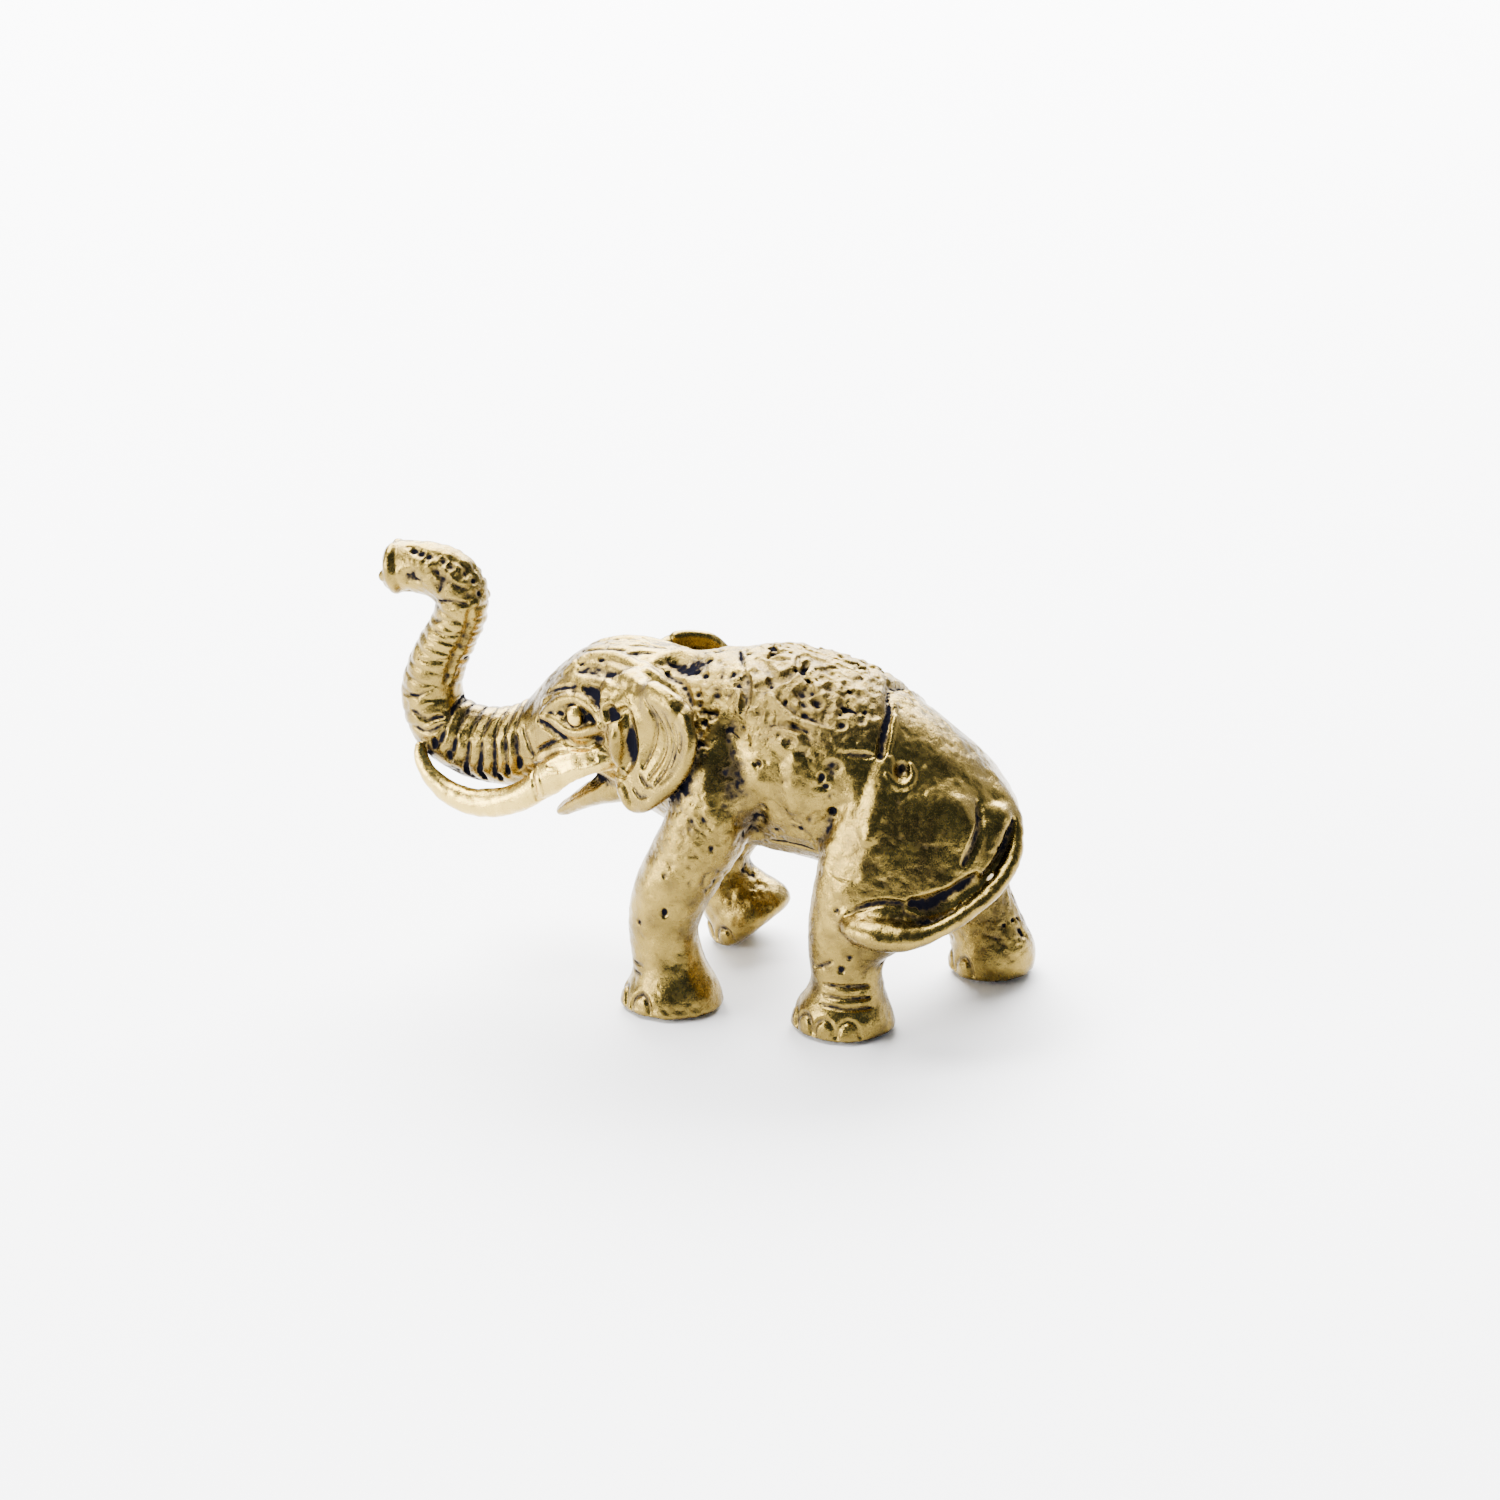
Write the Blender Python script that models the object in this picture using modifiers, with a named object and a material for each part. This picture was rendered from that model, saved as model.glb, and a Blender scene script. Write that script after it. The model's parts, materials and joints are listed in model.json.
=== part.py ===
"""Antiqued cast-brass elephant, 40 mm long, standing with its trunk raised.

The figure is an assembly of the pieces that its master pattern is made of: torso, head, trunk, lower jaw,
tusks, ears, eyes, four legs, tail and saddle cloth. A piece's root sits in a socket of its neighbour.
The elephant faces -X and its left side is -Y. It stands on Z = 0, with the origin under the middle of
its box.
"""

from math import cos, pi, sin

import bmesh
import bpy
from mathutils import Matrix, Vector

MM = 0.001

# Driving dimensions, in millimetres.
SEAT_GAP = 0.12  # clearance round every root in its socket
STANCE = 5.3  # half the distance between the left and the right legs
FOOT_WIDTH, FOOT_LENGTH = 2.9, 3.05  # half of each, on the standing feet
EAR_THICKNESS = 1.0
EYE_RADII = (0.55, 0.45, 0.68)
LEFT_EYE = (-9.5, -3.9, 16.9)
CLOTH_THICKNESS = 0.38
CLOTH_HEMS = (0.3, 9.3)  # X of the saddle cloth's front and rear hems
CLOTH_DROP = 17.2  # height of its lower hem

# Base colour and roughness of the metal: as cast, rubbed bright, and left dark in the relief.
BRASS = ((0.60, 0.43, 0.18), 0.33)
BRIGHT_BRASS = ((0.78, 0.58, 0.27), 0.26)
DARK_BRASS = ((0.40, 0.29, 0.13), 0.40)


# ---------------------------------------------------------------- scene and materials


def clear_scene():
    for old in list(bpy.data.objects):
        bpy.data.objects.remove(old)


def collection(name, hidden=False):
    made = bpy.data.collections.new(name)
    bpy.context.scene.collection.children.link(made)
    made.hide_render = hidden
    return made


def metal(piece_name, finish):
    """The piece's own metal. A finish is a base colour and a roughness."""
    colour, roughness = finish
    made = bpy.data.materials.new(piece_name + "_brass")
    made.use_nodes = True
    shader = made.node_tree.nodes["Principled BSDF"]
    shader.inputs["Base Color"].default_value = (*colour, 1.0)
    shader.inputs["Metallic"].default_value = 1.0
    shader.inputs["Roughness"].default_value = roughness
    return made


# ---------------------------------------------------------------- shapes


def add_piece(name, mesh, finish):
    """The mesh as a smooth-shaded piece of the figure."""
    piece = bpy.data.objects.new(name, mesh)
    FIGURE.objects.link(piece)
    mesh.materials.append(metal(name, finish))
    mesh.shade_smooth()
    return piece


def subdivide(piece, levels=1):
    soften = piece.modifiers.new("soften", "SUBSURF")
    soften.levels = soften.render_levels = levels


def ring(centre, tangent, side_axis, side_radius, other_radius, sides):
    """Points of an ellipse square to the tangent; side_radius is along side_axis."""
    side = (side_axis - tangent * side_axis.dot(tangent)).normalized()
    other = tangent.cross(side)
    points = []
    for i in range(sides):
        turn = 2 * pi * i / sides
        points.append(centre + side * (cos(turn) * side_radius) + other * (sin(turn) * other_radius))
    return points


def loft(name, stations, finish=BRASS, sides=12, side_axis=(0, 1, 0)):
    """A closed skin over ellipses. A station is (x, y, z, side radius, other radius), in millimetres."""
    cage_growth = 4 / (3 + cos(2 * pi / sides))  # subdividing draws the cage's corners in by this much
    centres = [Vector(station[:3]) * MM for station in stations]
    axis = Vector(side_axis)
    bm = bmesh.new()
    rings = []
    for i, station in enumerate(stations):
        ahead = centres[min(i + 1, len(centres) - 1)]
        behind = centres[max(i - 1, 0)]
        tangent = (ahead - behind).normalized()
        radii = [radius * cage_growth * MM for radius in station[3:]]
        points = ring(centres[i], tangent, axis, *radii, sides)
        rings.append([bm.verts.new(point) for point in points])
    for lower, upper in zip(rings, rings[1:]):
        for i in range(sides):
            j = (i + 1) % sides
            bm.faces.new((lower[i], lower[j], upper[j], upper[i]))
    bm.faces.new(list(reversed(rings[0])))
    bm.faces.new(rings[-1])
    bmesh.ops.recalc_face_normals(bm, faces=bm.faces)
    mesh = bpy.data.meshes.new(name)
    bm.to_mesh(mesh)
    bm.free()
    piece = add_piece(name, mesh, finish)
    subdivide(piece)
    return piece


def bead(name, centre, radii, finish=BRASS):
    """A small flattened ball, such as an eye."""
    bm = bmesh.new()
    bmesh.ops.create_uvsphere(bm, u_segments=12, v_segments=8, radius=1.0)
    place = Matrix.Translation(Vector(centre) * MM) @ Matrix.Diagonal((*[r * MM for r in radii], 1.0))
    bm.transform(place)
    mesh = bpy.data.meshes.new(name)
    bm.to_mesh(mesh)
    bm.free()
    return add_piece(name, mesh, finish)


def flap(name, rows, thickness, finish=BRASS):
    """A cupped sheet with a thickness. A row runs from the root to the free edge, in points (x, y, z)."""
    bm = bmesh.new()
    grid = [[bm.verts.new(Vector(point) * MM) for point in row] for row in rows]
    for upper, lower in zip(grid, grid[1:]):
        for i in range(len(upper) - 1):
            bm.faces.new((upper[i], lower[i], lower[i + 1], upper[i + 1]))
    mesh = bpy.data.meshes.new(name)
    bm.to_mesh(mesh)
    bm.free()
    piece = add_piece(name, mesh, finish)
    wall = piece.modifiers.new("thickness", "SOLIDIFY")
    wall.thickness = thickness * MM
    wall.offset = 0.0
    subdivide(piece)
    return piece


# ---------------------------------------------------------------- seating pieces in one another


def cutter_of(piece, grow):
    """A hidden copy of a piece, grown all round, that cuts the seat for it."""
    cutter = piece.copy()
    cutter.data = piece.data.copy()
    cutter.name = piece.name + ".cutter"
    CUTTERS.objects.link(cutter)
    swell = cutter.modifiers.new("clearance", "DISPLACE")
    swell.strength = grow * MM
    swell.mid_level = 0.0
    cutter.hide_render = True
    cutter.display_type = "WIRE"
    return cutter


def seat(host, *guests):
    """Cuts the host away round each guest, leaving the clearance."""
    for guest in guests:
        cut = host.modifiers.new("seat of " + guest.name, "BOOLEAN")
        cut.operation = "DIFFERENCE"
        cut.object = cutter_of(guest, SEAT_GAP)


def block(name, low, high):
    """A hidden box cutter between two corners, in millimetres."""
    bm = bmesh.new()
    bmesh.ops.create_cube(bm, size=1.0)
    low, high = Vector(low) * MM, Vector(high) * MM
    span = high - low
    bm.transform(Matrix.Translation((low + high) / 2) @ Matrix.Diagonal((*span, 1.0)))
    mesh = bpy.data.meshes.new(name)
    bm.to_mesh(mesh)
    bm.free()
    made = bpy.data.objects.new(name, mesh)
    CUTTERS.objects.link(made)
    made.hide_render = True
    made.display_type = "WIRE"
    return made


def stand_on(ground, *pieces):
    """Cuts a flat sole at ground level."""
    for piece in pieces:
        sole = piece.modifiers.new("sole", "BOOLEAN")
        sole.operation = "DIFFERENCE"
        sole.object = ground


# ---------------------------------------------------------------- the pieces

TORSO = (
    (-8.6, 0, 15.8, 2.0, 2.4),
    (-7.8, 0, 15.7, 3.3, 3.6),
    (-5.4, 0, 15.1, 4.0, 5.2),
    (-2.8, 0, 14.9, 4.8, 5.6),
    (0.0, 0, 14.8, 5.3, 6.0),
    (2.6, 0, 14.8, 5.6, 6.1),
    (5.2, 0, 14.4, 5.7, 5.95),
    (7.6, 0, 13.5, 5.6, 5.65),
    (10.0, 0, 12.5, 5.3, 5.1),
    (12.2, 0, 11.5, 4.8, 4.5),
    (14.0, 0, 10.7, 4.2, 3.7),
    (15.3, 0, 10.3, 3.3, 2.8),
    (16.0, 0, 10.1, 1.9, 1.7),
)

HEAD = (
    (-12.9, 0, 14.5, 1.6, 1.6),
    (-12.2, 0, 14.7, 2.6, 2.4),
    (-11.0, 0, 15.2, 3.5, 3.1),
    (-9.5, 0, 16.0, 4.0, 3.9),
    (-7.6, 0, 16.3, 4.3, 4.25),
    (-5.6, 0, 16.4, 4.1, 4.0),
    (-4.2, 0, 16.5, 3.1, 3.3),
    (-3.5, 0, 16.6, 1.7, 2.0),
)

TRUNK = (
    (-10.4, 0, 14.0, 1.4, 1.5),
    (-11.2, 0, 13.8, 2.3, 2.2),
    (-13.0, 0, 13.45, 2.4, 2.75),
    (-15.1, 0, 12.85, 2.3, 2.4),
    (-17.4, 0, 12.8, 2.2, 2.35),
    (-19.5, 0, 13.75, 2.1, 2.25),
    (-20.35, 0, 15.7, 1.9, 1.95),
    (-19.6, 0, 18.0, 1.8, 1.75),
    (-18.4, 0, 20.1, 1.65, 1.65),
    (-17.65, 0, 21.8, 1.65, 1.75),
    (-18.2, 0, 23.3, 1.65, 1.95),
    (-20.0, 0, 23.7, 1.55, 1.65),
    (-21.6, 0, 23.6, 1.5, 1.6),
    (-22.6, 0, 23.5, 1.4, 1.5),
    (-22.9, 0, 23.5, 0.9, 1.0),
)

JAW = (
    (-6.2, 0, 11.9, 1.3, 1.2),
    (-7.4, 0, 11.85, 2.1, 1.35),
    (-9.0, 0, 11.05, 1.8, 0.9),
    (-10.5, 0, 10.1, 1.3, 0.6),
    (-11.9, 0, 9.2, 0.7, 0.45),
    (-12.4, 0, 8.9, 0.35, 0.25),
)

LEFT_TUSK = (
    (-7.0, -3.0, 14.3, 0.7, 0.7),
    (-8.0, -3.3, 14.2, 1.1, 1.05),
    (-9.5, -3.4, 13.8, 1.15, 1.2),
    (-10.8, -3.4, 13.05, 1.1, 1.2),
    (-12.0, -3.35, 12.0, 0.95, 0.95),
    (-13.3, -3.3, 11.0, 0.9, 0.9),
    (-15.0, -3.2, 10.35, 0.85, 0.9),
    (-16.8, -3.0, 10.25, 0.8, 0.85),
    (-18.5, -2.7, 10.85, 0.7, 0.75),
    (-19.65, -2.4, 11.85, 0.55, 0.6),
    (-20.1, -2.2, 12.9, 0.37, 0.4),
    (-20.15, -2.1, 13.5, 0.18, 0.18),
)

# Rows of the left ear from its upper edge down; each runs from the root to the free edge.
LEFT_EAR = (
    ((-7.6, -3.4, 19.7), (-6.4, -4.1, 20.1), (-5.0, -4.5, 20.1), (-3.9, -4.8, 19.8)),
    ((-7.8, -4.0, 18.6), (-6.2, -4.7, 18.9), (-3.6, -5.3, 19.2), (-1.8, -5.7, 18.9)),
    ((-7.4, -4.2, 17.1), (-5.6, -4.8, 17.1), (-2.7, -5.6, 17.3), (-0.9, -6.3, 17.4)),
    ((-7.2, -4.2, 15.4), (-5.5, -4.7, 15.3), (-3.2, -5.6, 15.4), (-1.35, -6.4, 15.6)),
    ((-6.8, -4.4, 14.0), (-5.6, -4.9, 13.5), (-4.2, -5.7, 13.4), (-2.9, -6.2, 13.7)),
    ((-6.6, -4.9, 12.6), (-5.9, -5.2, 12.0), (-5.1, -5.5, 12.0), (-4.3, -5.8, 12.4)),
)

# The right ear lies closer to the neck than the left one does.
RIGHT_EAR = (
    ((-7.2, 3.5, 19.3), (-5.9, 4.2, 19.6), (-4.7, 4.9, 19.55), (-3.9, 5.3, 19.1)),
    ((-7.4, 4.0, 18.4), (-6.1, 4.8, 18.7), (-4.4, 5.6, 18.6), (-3.2, 6.0, 18.1)),
    ((-7.3, 4.2, 17.1), (-5.7, 5.0, 17.1), (-3.8, 5.9, 17.0), (-2.4, 6.5, 16.9)),
    ((-7.2, 4.2, 15.4), (-5.7, 4.8, 15.3), (-3.8, 5.9, 15.3), (-2.4, 6.6, 15.3)),
    ((-6.8, 4.4, 14.0), (-5.6, 4.9, 13.6), (-4.3, 5.8, 13.6), (-3.2, 6.3, 13.7)),
    ((-6.4, 4.9, 12.8), (-5.7, 5.3, 12.4), (-5.1, 5.7, 12.4), (-4.5, 5.9, 12.6)),
)

FRONT_LEFT_LEG = (
    (0.6, -2.6, 17.6, 0.9, 1.5),
    (0.3, -3.6, 16.6, 1.7, 2.6),
    (0.0, -4.3, 14.6, 2.0, 2.9),
    (-0.7, -4.8, 12.0, 2.1, 2.6),
    (-1.8, -5.1, 9.7, 2.15, 2.4),
    (-3.3, -STANCE, 7.2, 2.15, 2.35),
    (-3.8, -STANCE, 4.8, 2.0, 2.15),
    (-3.4, -STANCE, 3.2, 1.95, 2.1),
    (-3.2, -STANCE, 2.1, 2.2, 2.3),
    (-3.1, -STANCE, 1.2, FOOT_WIDTH, FOOT_LENGTH),
    (-3.1, -STANCE, 0.2, FOOT_WIDTH, FOOT_LENGTH),
    (-3.1, -STANCE, -1.2, FOOT_WIDTH, FOOT_LENGTH),
)

FRONT_RIGHT_LEG = (
    (0.6, 2.6, 17.6, 0.9, 1.5),
    (0.3, 3.6, 16.6, 1.7, 2.6),
    (0.0, 4.3, 14.6, 2.0, 2.9),
    (-0.5, 4.7, 12.0, 2.1, 2.6),
    (-1.6, 4.9, 9.4, 2.05, 2.4),
    (-3.2, STANCE, 7.2, 2.0, 2.2),
    (-4.0, STANCE, 5.4, 1.9, 2.1),
    (-3.6, STANCE, 3.9, 1.95, 2.0),
    (-2.7, STANCE, 2.8, 2.2, 2.3),
    (-1.9, STANCE, 1.9, 2.6, 2.9),
    (-1.5, STANCE, 1.4, 2.6, 2.9),
    (-1.1, STANCE, 0.9, 2.5, 2.8),
)

HIND_LEFT_LEG = (
    (11.6, -2.2, 15.0, 1.2, 2.2),
    (11.4, -3.2, 13.6, 2.2, 4.2),
    (10.9, -4.2, 11.6, 2.4, 4.9),
    (10.0, -4.9, 9.4, 2.4, 4.6),
    (8.6, -5.3, 7.4, 2.3, 3.6),
    (7.6, -STANCE, 5.4, 2.1, 2.5),
    (7.6, -STANCE, 3.9, 2.0, 2.15),
    (7.7, -STANCE, 2.8, 2.05, 2.15),
    (7.6, -STANCE, 1.9, 2.4, 2.55),
    (7.5, -STANCE, 1.2, FOOT_WIDTH, FOOT_LENGTH),
    (7.5, -STANCE, 0.2, FOOT_WIDTH, FOOT_LENGTH),
    (7.5, -STANCE, -1.2, FOOT_WIDTH, FOOT_LENGTH),
)

HIND_RIGHT_LEG = (
    (11.2, 2.2, 14.7, 1.2, 1.8),
    (11.1, 3.2, 13.4, 2.2, 3.1),
    (11.1, 4.2, 11.4, 2.4, 3.8),
    (11.2, 4.8, 9.2, 2.3, 3.5),
    (11.4, 5.1, 7.0, 2.1, 2.8),
    (12.0, STANCE, 5.2, 2.0, 2.35),
    (12.7, STANCE, 3.7, 2.0, 2.3),
    (13.3, STANCE, 2.4, 2.3, 2.4),
    (13.5, STANCE, 1.5, 2.6, 2.7),
    (13.6, STANCE, 0.8, 2.6, 2.7),
    (13.7, STANCE, -0.3, 2.5, 2.6),
)

TAIL = (
    (13.0, 0.0, 13.8, 0.5, 0.5),
    (14.0, 0.0, 13.9, 0.8, 0.8),
    (15.3, -0.2, 13.4, 0.75, 0.75),
    (16.4, -0.8, 12.3, 0.65, 0.65),
    (16.9, -2.0, 11.0, 0.6, 0.6),
    (16.6, -3.6, 9.8, 0.55, 0.55),
    (15.7, -5.2, 8.8, 0.55, 0.55),
    (14.3, -6.6, 7.9, 0.55, 0.55),
    (13.2, -7.3, 7.4, 0.55, 0.55),
    (12.5, -7.7, 7.2, 0.7, 0.85),
    (11.2, -7.9, 7.1, 0.95, 1.25),
    (9.8, -7.9, 7.2, 0.95, 1.2),
    (8.7, -7.8, 7.3, 0.7, 0.9),
    (8.1, -7.7, 7.35, 0.35, 0.4),
)


def mirrored(points):
    """The same stations on the other side of the figure."""
    return [(p[0], -p[1], *p[2:]) for p in points]


def saddle_cloth(torso):
    """A thin cloth that follows the torso's own back, trimmed to its hems."""
    cloth = torso.copy()
    cloth.data = torso.data.copy()
    cloth.name = "saddle_cloth"
    FIGURE.objects.link(cloth)
    cloth.data.materials.clear()
    cloth.data.materials.append(metal("saddle_cloth", DARK_BRASS))
    swell = cloth.modifiers.new("thickness", "DISPLACE")
    swell.strength = CLOTH_THICKNESS * MM
    swell.mid_level = 0.0
    front, rear = CLOTH_HEMS
    hems = block("hems.cutter", (front, -9, CLOTH_DROP), (rear, 9, 30))
    trim = cloth.modifiers.new("hems", "BOOLEAN")
    trim.operation = "INTERSECT"
    trim.object = hems
    inside = cloth.modifiers.new("back", "BOOLEAN")
    inside.operation = "DIFFERENCE"
    inside.object = cutter_of(torso, 0.05)
    return cloth


def centre_over_origin(pieces):
    """Hangs the pieces on one empty and places it so that the origin is under the middle of their box."""
    bpy.context.view_layer.update()
    graph = bpy.context.evaluated_depsgraph_get()
    corners = []
    for piece in pieces:
        mesh = piece.evaluated_get(graph).to_mesh()
        corners += [vertex.co.copy() for vertex in mesh.vertices]
    low = [min(c[k] for c in corners) for k in range(3)]
    high = [max(c[k] for c in corners) for k in range(3)]
    stand = bpy.data.objects.new("elephant", None)
    FIGURE.objects.link(stand)
    stand.location = (-(low[0] + high[0]) / 2, -(low[1] + high[1]) / 2, -low[2])
    for piece in pieces:
        piece.parent = stand
    for cutter in CUTTERS.objects:
        cutter.parent = stand


def main():
    torso = loft("torso", TORSO, sides=16)
    cloth = saddle_cloth(torso)
    head = loft("head", HEAD, sides=16)
    trunk = loft("trunk", TRUNK)
    jaw = loft("lower_jaw", JAW)
    tusks = [
        loft("left_tusk", LEFT_TUSK, BRIGHT_BRASS, sides=8),
        loft("right_tusk", mirrored(LEFT_TUSK), BRIGHT_BRASS, sides=8),
    ]
    ears = [
        flap("left_ear", LEFT_EAR, EAR_THICKNESS),
        flap("right_ear", RIGHT_EAR, EAR_THICKNESS),
    ]
    eyes = [
        bead("left_eye", LEFT_EYE, EYE_RADII, BRIGHT_BRASS),
        bead("right_eye", (LEFT_EYE[0], -LEFT_EYE[1], LEFT_EYE[2]), EYE_RADII, BRIGHT_BRASS),
    ]
    legs = [
        loft("front_left_leg", FRONT_LEFT_LEG),
        loft("front_right_leg", FRONT_RIGHT_LEG),
        loft("hind_left_leg", HIND_LEFT_LEG),
        loft("hind_right_leg", HIND_RIGHT_LEG),
    ]
    tail = loft("tail", TAIL, sides=8, side_axis=(0, 0, 1))

    ground = block("ground.cutter", (-40, -20, -10), (40, 20, 0))
    stand_on(ground, *legs)
    seat(torso, *ears, head, jaw, *legs, tail)
    seat(head, trunk, jaw, *tusks, *ears, *eyes)
    seat(trunk, *tusks)
    seat(cloth, *legs)
    seat(legs[0], ears[0])
    seat(legs[1], ears[1])
    seat(legs[2], tail)
    centre_over_origin([piece for piece in FIGURE.objects if piece.type == "MESH"])


clear_scene()
FIGURE = collection("elephant_figurine")
CUTTERS = collection("cutters", hidden=True)
main()
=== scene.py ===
"""The antiqued cast-brass elephant, sculpted round its CAD frame.

The CAD nodes become one field of signed distances, the clay, in which they flow together with fillets.
Tools then press wrinkles, lids, ribs, chasing and casting pits into the clay. Last, the clay is cut back
into the CAD's own pieces, each a closed mesh. Each vertex keeps how hollow its place is, and there the dark
patina lies. Each also keeps how much shade is painted on it, dark like the patina, where shade falls.
"""

import json
import math

import bpy
import numpy as np
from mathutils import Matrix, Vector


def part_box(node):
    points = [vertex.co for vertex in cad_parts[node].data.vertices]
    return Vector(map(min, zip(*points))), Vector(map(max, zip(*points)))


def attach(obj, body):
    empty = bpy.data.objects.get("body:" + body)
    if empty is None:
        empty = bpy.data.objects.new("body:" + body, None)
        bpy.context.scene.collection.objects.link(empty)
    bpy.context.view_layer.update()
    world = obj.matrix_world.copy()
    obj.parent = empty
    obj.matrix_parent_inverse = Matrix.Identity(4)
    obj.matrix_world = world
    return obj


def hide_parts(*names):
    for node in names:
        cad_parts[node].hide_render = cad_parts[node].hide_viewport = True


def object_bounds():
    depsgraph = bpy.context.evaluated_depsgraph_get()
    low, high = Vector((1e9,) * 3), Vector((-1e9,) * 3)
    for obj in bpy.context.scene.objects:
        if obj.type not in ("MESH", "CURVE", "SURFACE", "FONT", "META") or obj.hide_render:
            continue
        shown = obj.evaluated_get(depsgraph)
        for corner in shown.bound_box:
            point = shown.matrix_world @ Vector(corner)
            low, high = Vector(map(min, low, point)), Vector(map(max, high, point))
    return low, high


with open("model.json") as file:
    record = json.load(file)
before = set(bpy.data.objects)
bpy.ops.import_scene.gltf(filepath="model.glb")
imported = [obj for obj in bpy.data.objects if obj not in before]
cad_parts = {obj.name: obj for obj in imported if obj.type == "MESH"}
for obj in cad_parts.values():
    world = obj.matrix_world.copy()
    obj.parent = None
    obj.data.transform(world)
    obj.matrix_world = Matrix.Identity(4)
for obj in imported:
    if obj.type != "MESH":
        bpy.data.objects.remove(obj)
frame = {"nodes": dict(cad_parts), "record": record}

import openvdb
from mathutils import Vector

CAD_BOX = [list(corner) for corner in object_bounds()]

MM = 0.001
VOXEL = 0.1  # millimetres, as is everything in the clay
REACH = 1.5  # distances are only kept this far from a surface
MARGIN = 1.2  # clay room round the CAD box


# -------------- the clay


class Grid:
    """A block of voxels: the index of its first voxel and its shape."""

    def __init__(self, first, shape):
        self.first = np.array(first)
        self.shape = tuple(shape)

    def window(self, low, high):
        """Slices of the voxels between two corners, and their x, y and z."""
        start = np.floor(np.asarray(low) / VOXEL).astype(int) - self.first
        stop = np.ceil(np.asarray(high) / VOXEL).astype(int) - self.first + 1
        start = np.clip(start, 0, self.shape)
        stop = np.clip(stop, start, self.shape)
        slices = tuple(slice(a, b) for a, b in zip(start, stop))
        axes = [(np.arange(s.start, s.stop) + f) * VOXEL for s, f in zip(slices, self.first)]
        x, y, z = [a.astype(np.float32) for a in axes]
        return slices, (x[:, None, None], y[None, :, None], z[None, None, :])

    def sample(self, field, points):
        """The field between the voxels, at points in millimetres."""
        at = points / VOXEL - self.first
        at = np.clip(at, 0, np.array(self.shape) - 1.001)
        whole = at.astype(int)
        i, j, k = whole.T
        u, v, w = (at - whole).T

        def edge(a, b):
            return field[i + a, j + b, k] * (1 - w) + field[i + a, j + b, k + 1] * w

        low = edge(0, 0) * (1 - v) + edge(0, 1) * v
        high = edge(1, 0) * (1 - v) + edge(1, 1) * v
        return low * (1 - u) + high * u

    def slope(self, field, points, step=VOXEL):
        """The field's slope at points, by central differences."""
        slopes = []
        for axis in range(3):
            shift = np.zeros(3)
            shift[axis] = step / 2
            rise = self.sample(field, points + shift) - self.sample(field, points - shift)
            slopes.append(rise / step)
        return np.stack(slopes, axis=1)


def blurred(field, sigma):
    """The field after a Gaussian blur of sigma millimetres."""
    reach = int(math.ceil(2.4 * sigma / VOXEL))
    weights = np.exp(-0.5 * (np.arange(-reach, reach + 1) * VOXEL / sigma) ** 2)
    weights = (weights / weights.sum()).astype(np.float32)
    for axis in range(3):
        room = [(reach, reach) if a == axis else (0, 0) for a in range(3)]
        padded = np.pad(field, room, mode="edge")
        out = np.zeros_like(field)
        for k, weight in enumerate(weights):
            shifted = [slice(None)] * 3
            shifted[axis] = slice(k, k + field.shape[axis])
            out += weight * padded[tuple(shifted)]
        field = out
    return field


def merged(a, b, fillet):
    """The union of two fields, rounded where they meet."""
    near = np.maximum(fillet - np.abs(a - b), 0) / fillet
    return np.minimum(a, b) - near * near * (fillet / 4)


BOX_LOW, BOX_HIGH = [np.array(corner) / MM for corner in CAD_BOX]
FIRST_VOXEL = np.floor((BOX_LOW - MARGIN) / VOXEL).astype(int)
LAST_VOXEL = np.ceil((BOX_HIGH + MARGIN) / VOXEL).astype(int)
GRID = Grid(FIRST_VOXEL, LAST_VOXEL - FIRST_VOXEL + 1)
CLAY = np.full(GRID.shape, REACH, np.float32)
SMOOTH = np.empty_like(CLAY)  # the clay without its details


def node_field(node):
    """A CAD node's window on the grid and its signed distances there."""
    mesh = frame["nodes"][node].data
    mesh.calc_loop_triangles()
    points = np.empty(len(mesh.vertices) * 3, np.float32)
    mesh.vertices.foreach_get("co", points)
    triangles = np.empty(len(mesh.loop_triangles) * 3, np.int32)
    mesh.loop_triangles.foreach_get("vertices", triangles)
    distances = openvdb.FloatGrid.createLevelSetFromPolygons(
        points.reshape(-1, 3) / MM,
        triangles=triangles.reshape(-1, 3).astype(np.uint32),
        transform=openvdb.createLinearTransform(voxelSize=VOXEL),
        halfWidth=REACH / VOXEL,
    )
    low, high = [np.array(corner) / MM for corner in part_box(node)]
    slices, axes = GRID.window(low - REACH, high + REACH)
    field = np.empty([s.stop - s.start for s in slices], np.float32)
    start = [int(s.start + f) for s, f in zip(slices, GRID.first)]
    distances.copyToArray(field, ijk=start)
    return slices, field


NODES = sorted(frame["nodes"])
SLOTS = {row["node"]: row["material_slot"] for row in frame["record"]["subparts"]}
FIELDS = {node: node_field(node) for node in NODES}


# -------------- tools

# Places below are in the master's own millimetres: the saddle cloth's front edge is at X = FRONT_HEM, the
# head's middle at Y = 0 and the ground at Z = 0. HOME is the master's origin in the CAD's frame.
FRONT_HEM = 0.3
HOME = np.array([
    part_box("saddle_cloth")[0].x / MM - FRONT_HEM,
    (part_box("head")[0].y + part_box("head")[1].y) / 2 / MM,
    0.0,
])


def join(node, fillet, soften=0.0):
    """Adds a CAD node to the clay."""
    slices, field = FIELDS[node]
    if soften:
        field = blurred(field, soften)
    CLAY[slices] = merged(CLAY[slices], field, fillet)


def falloff(distance, width):
    """1 on the path and 0 from width outwards, without a corner."""
    near = np.clip(1 - distance / width, 0, 1)
    return near * near * (3 - 2 * near)


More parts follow.
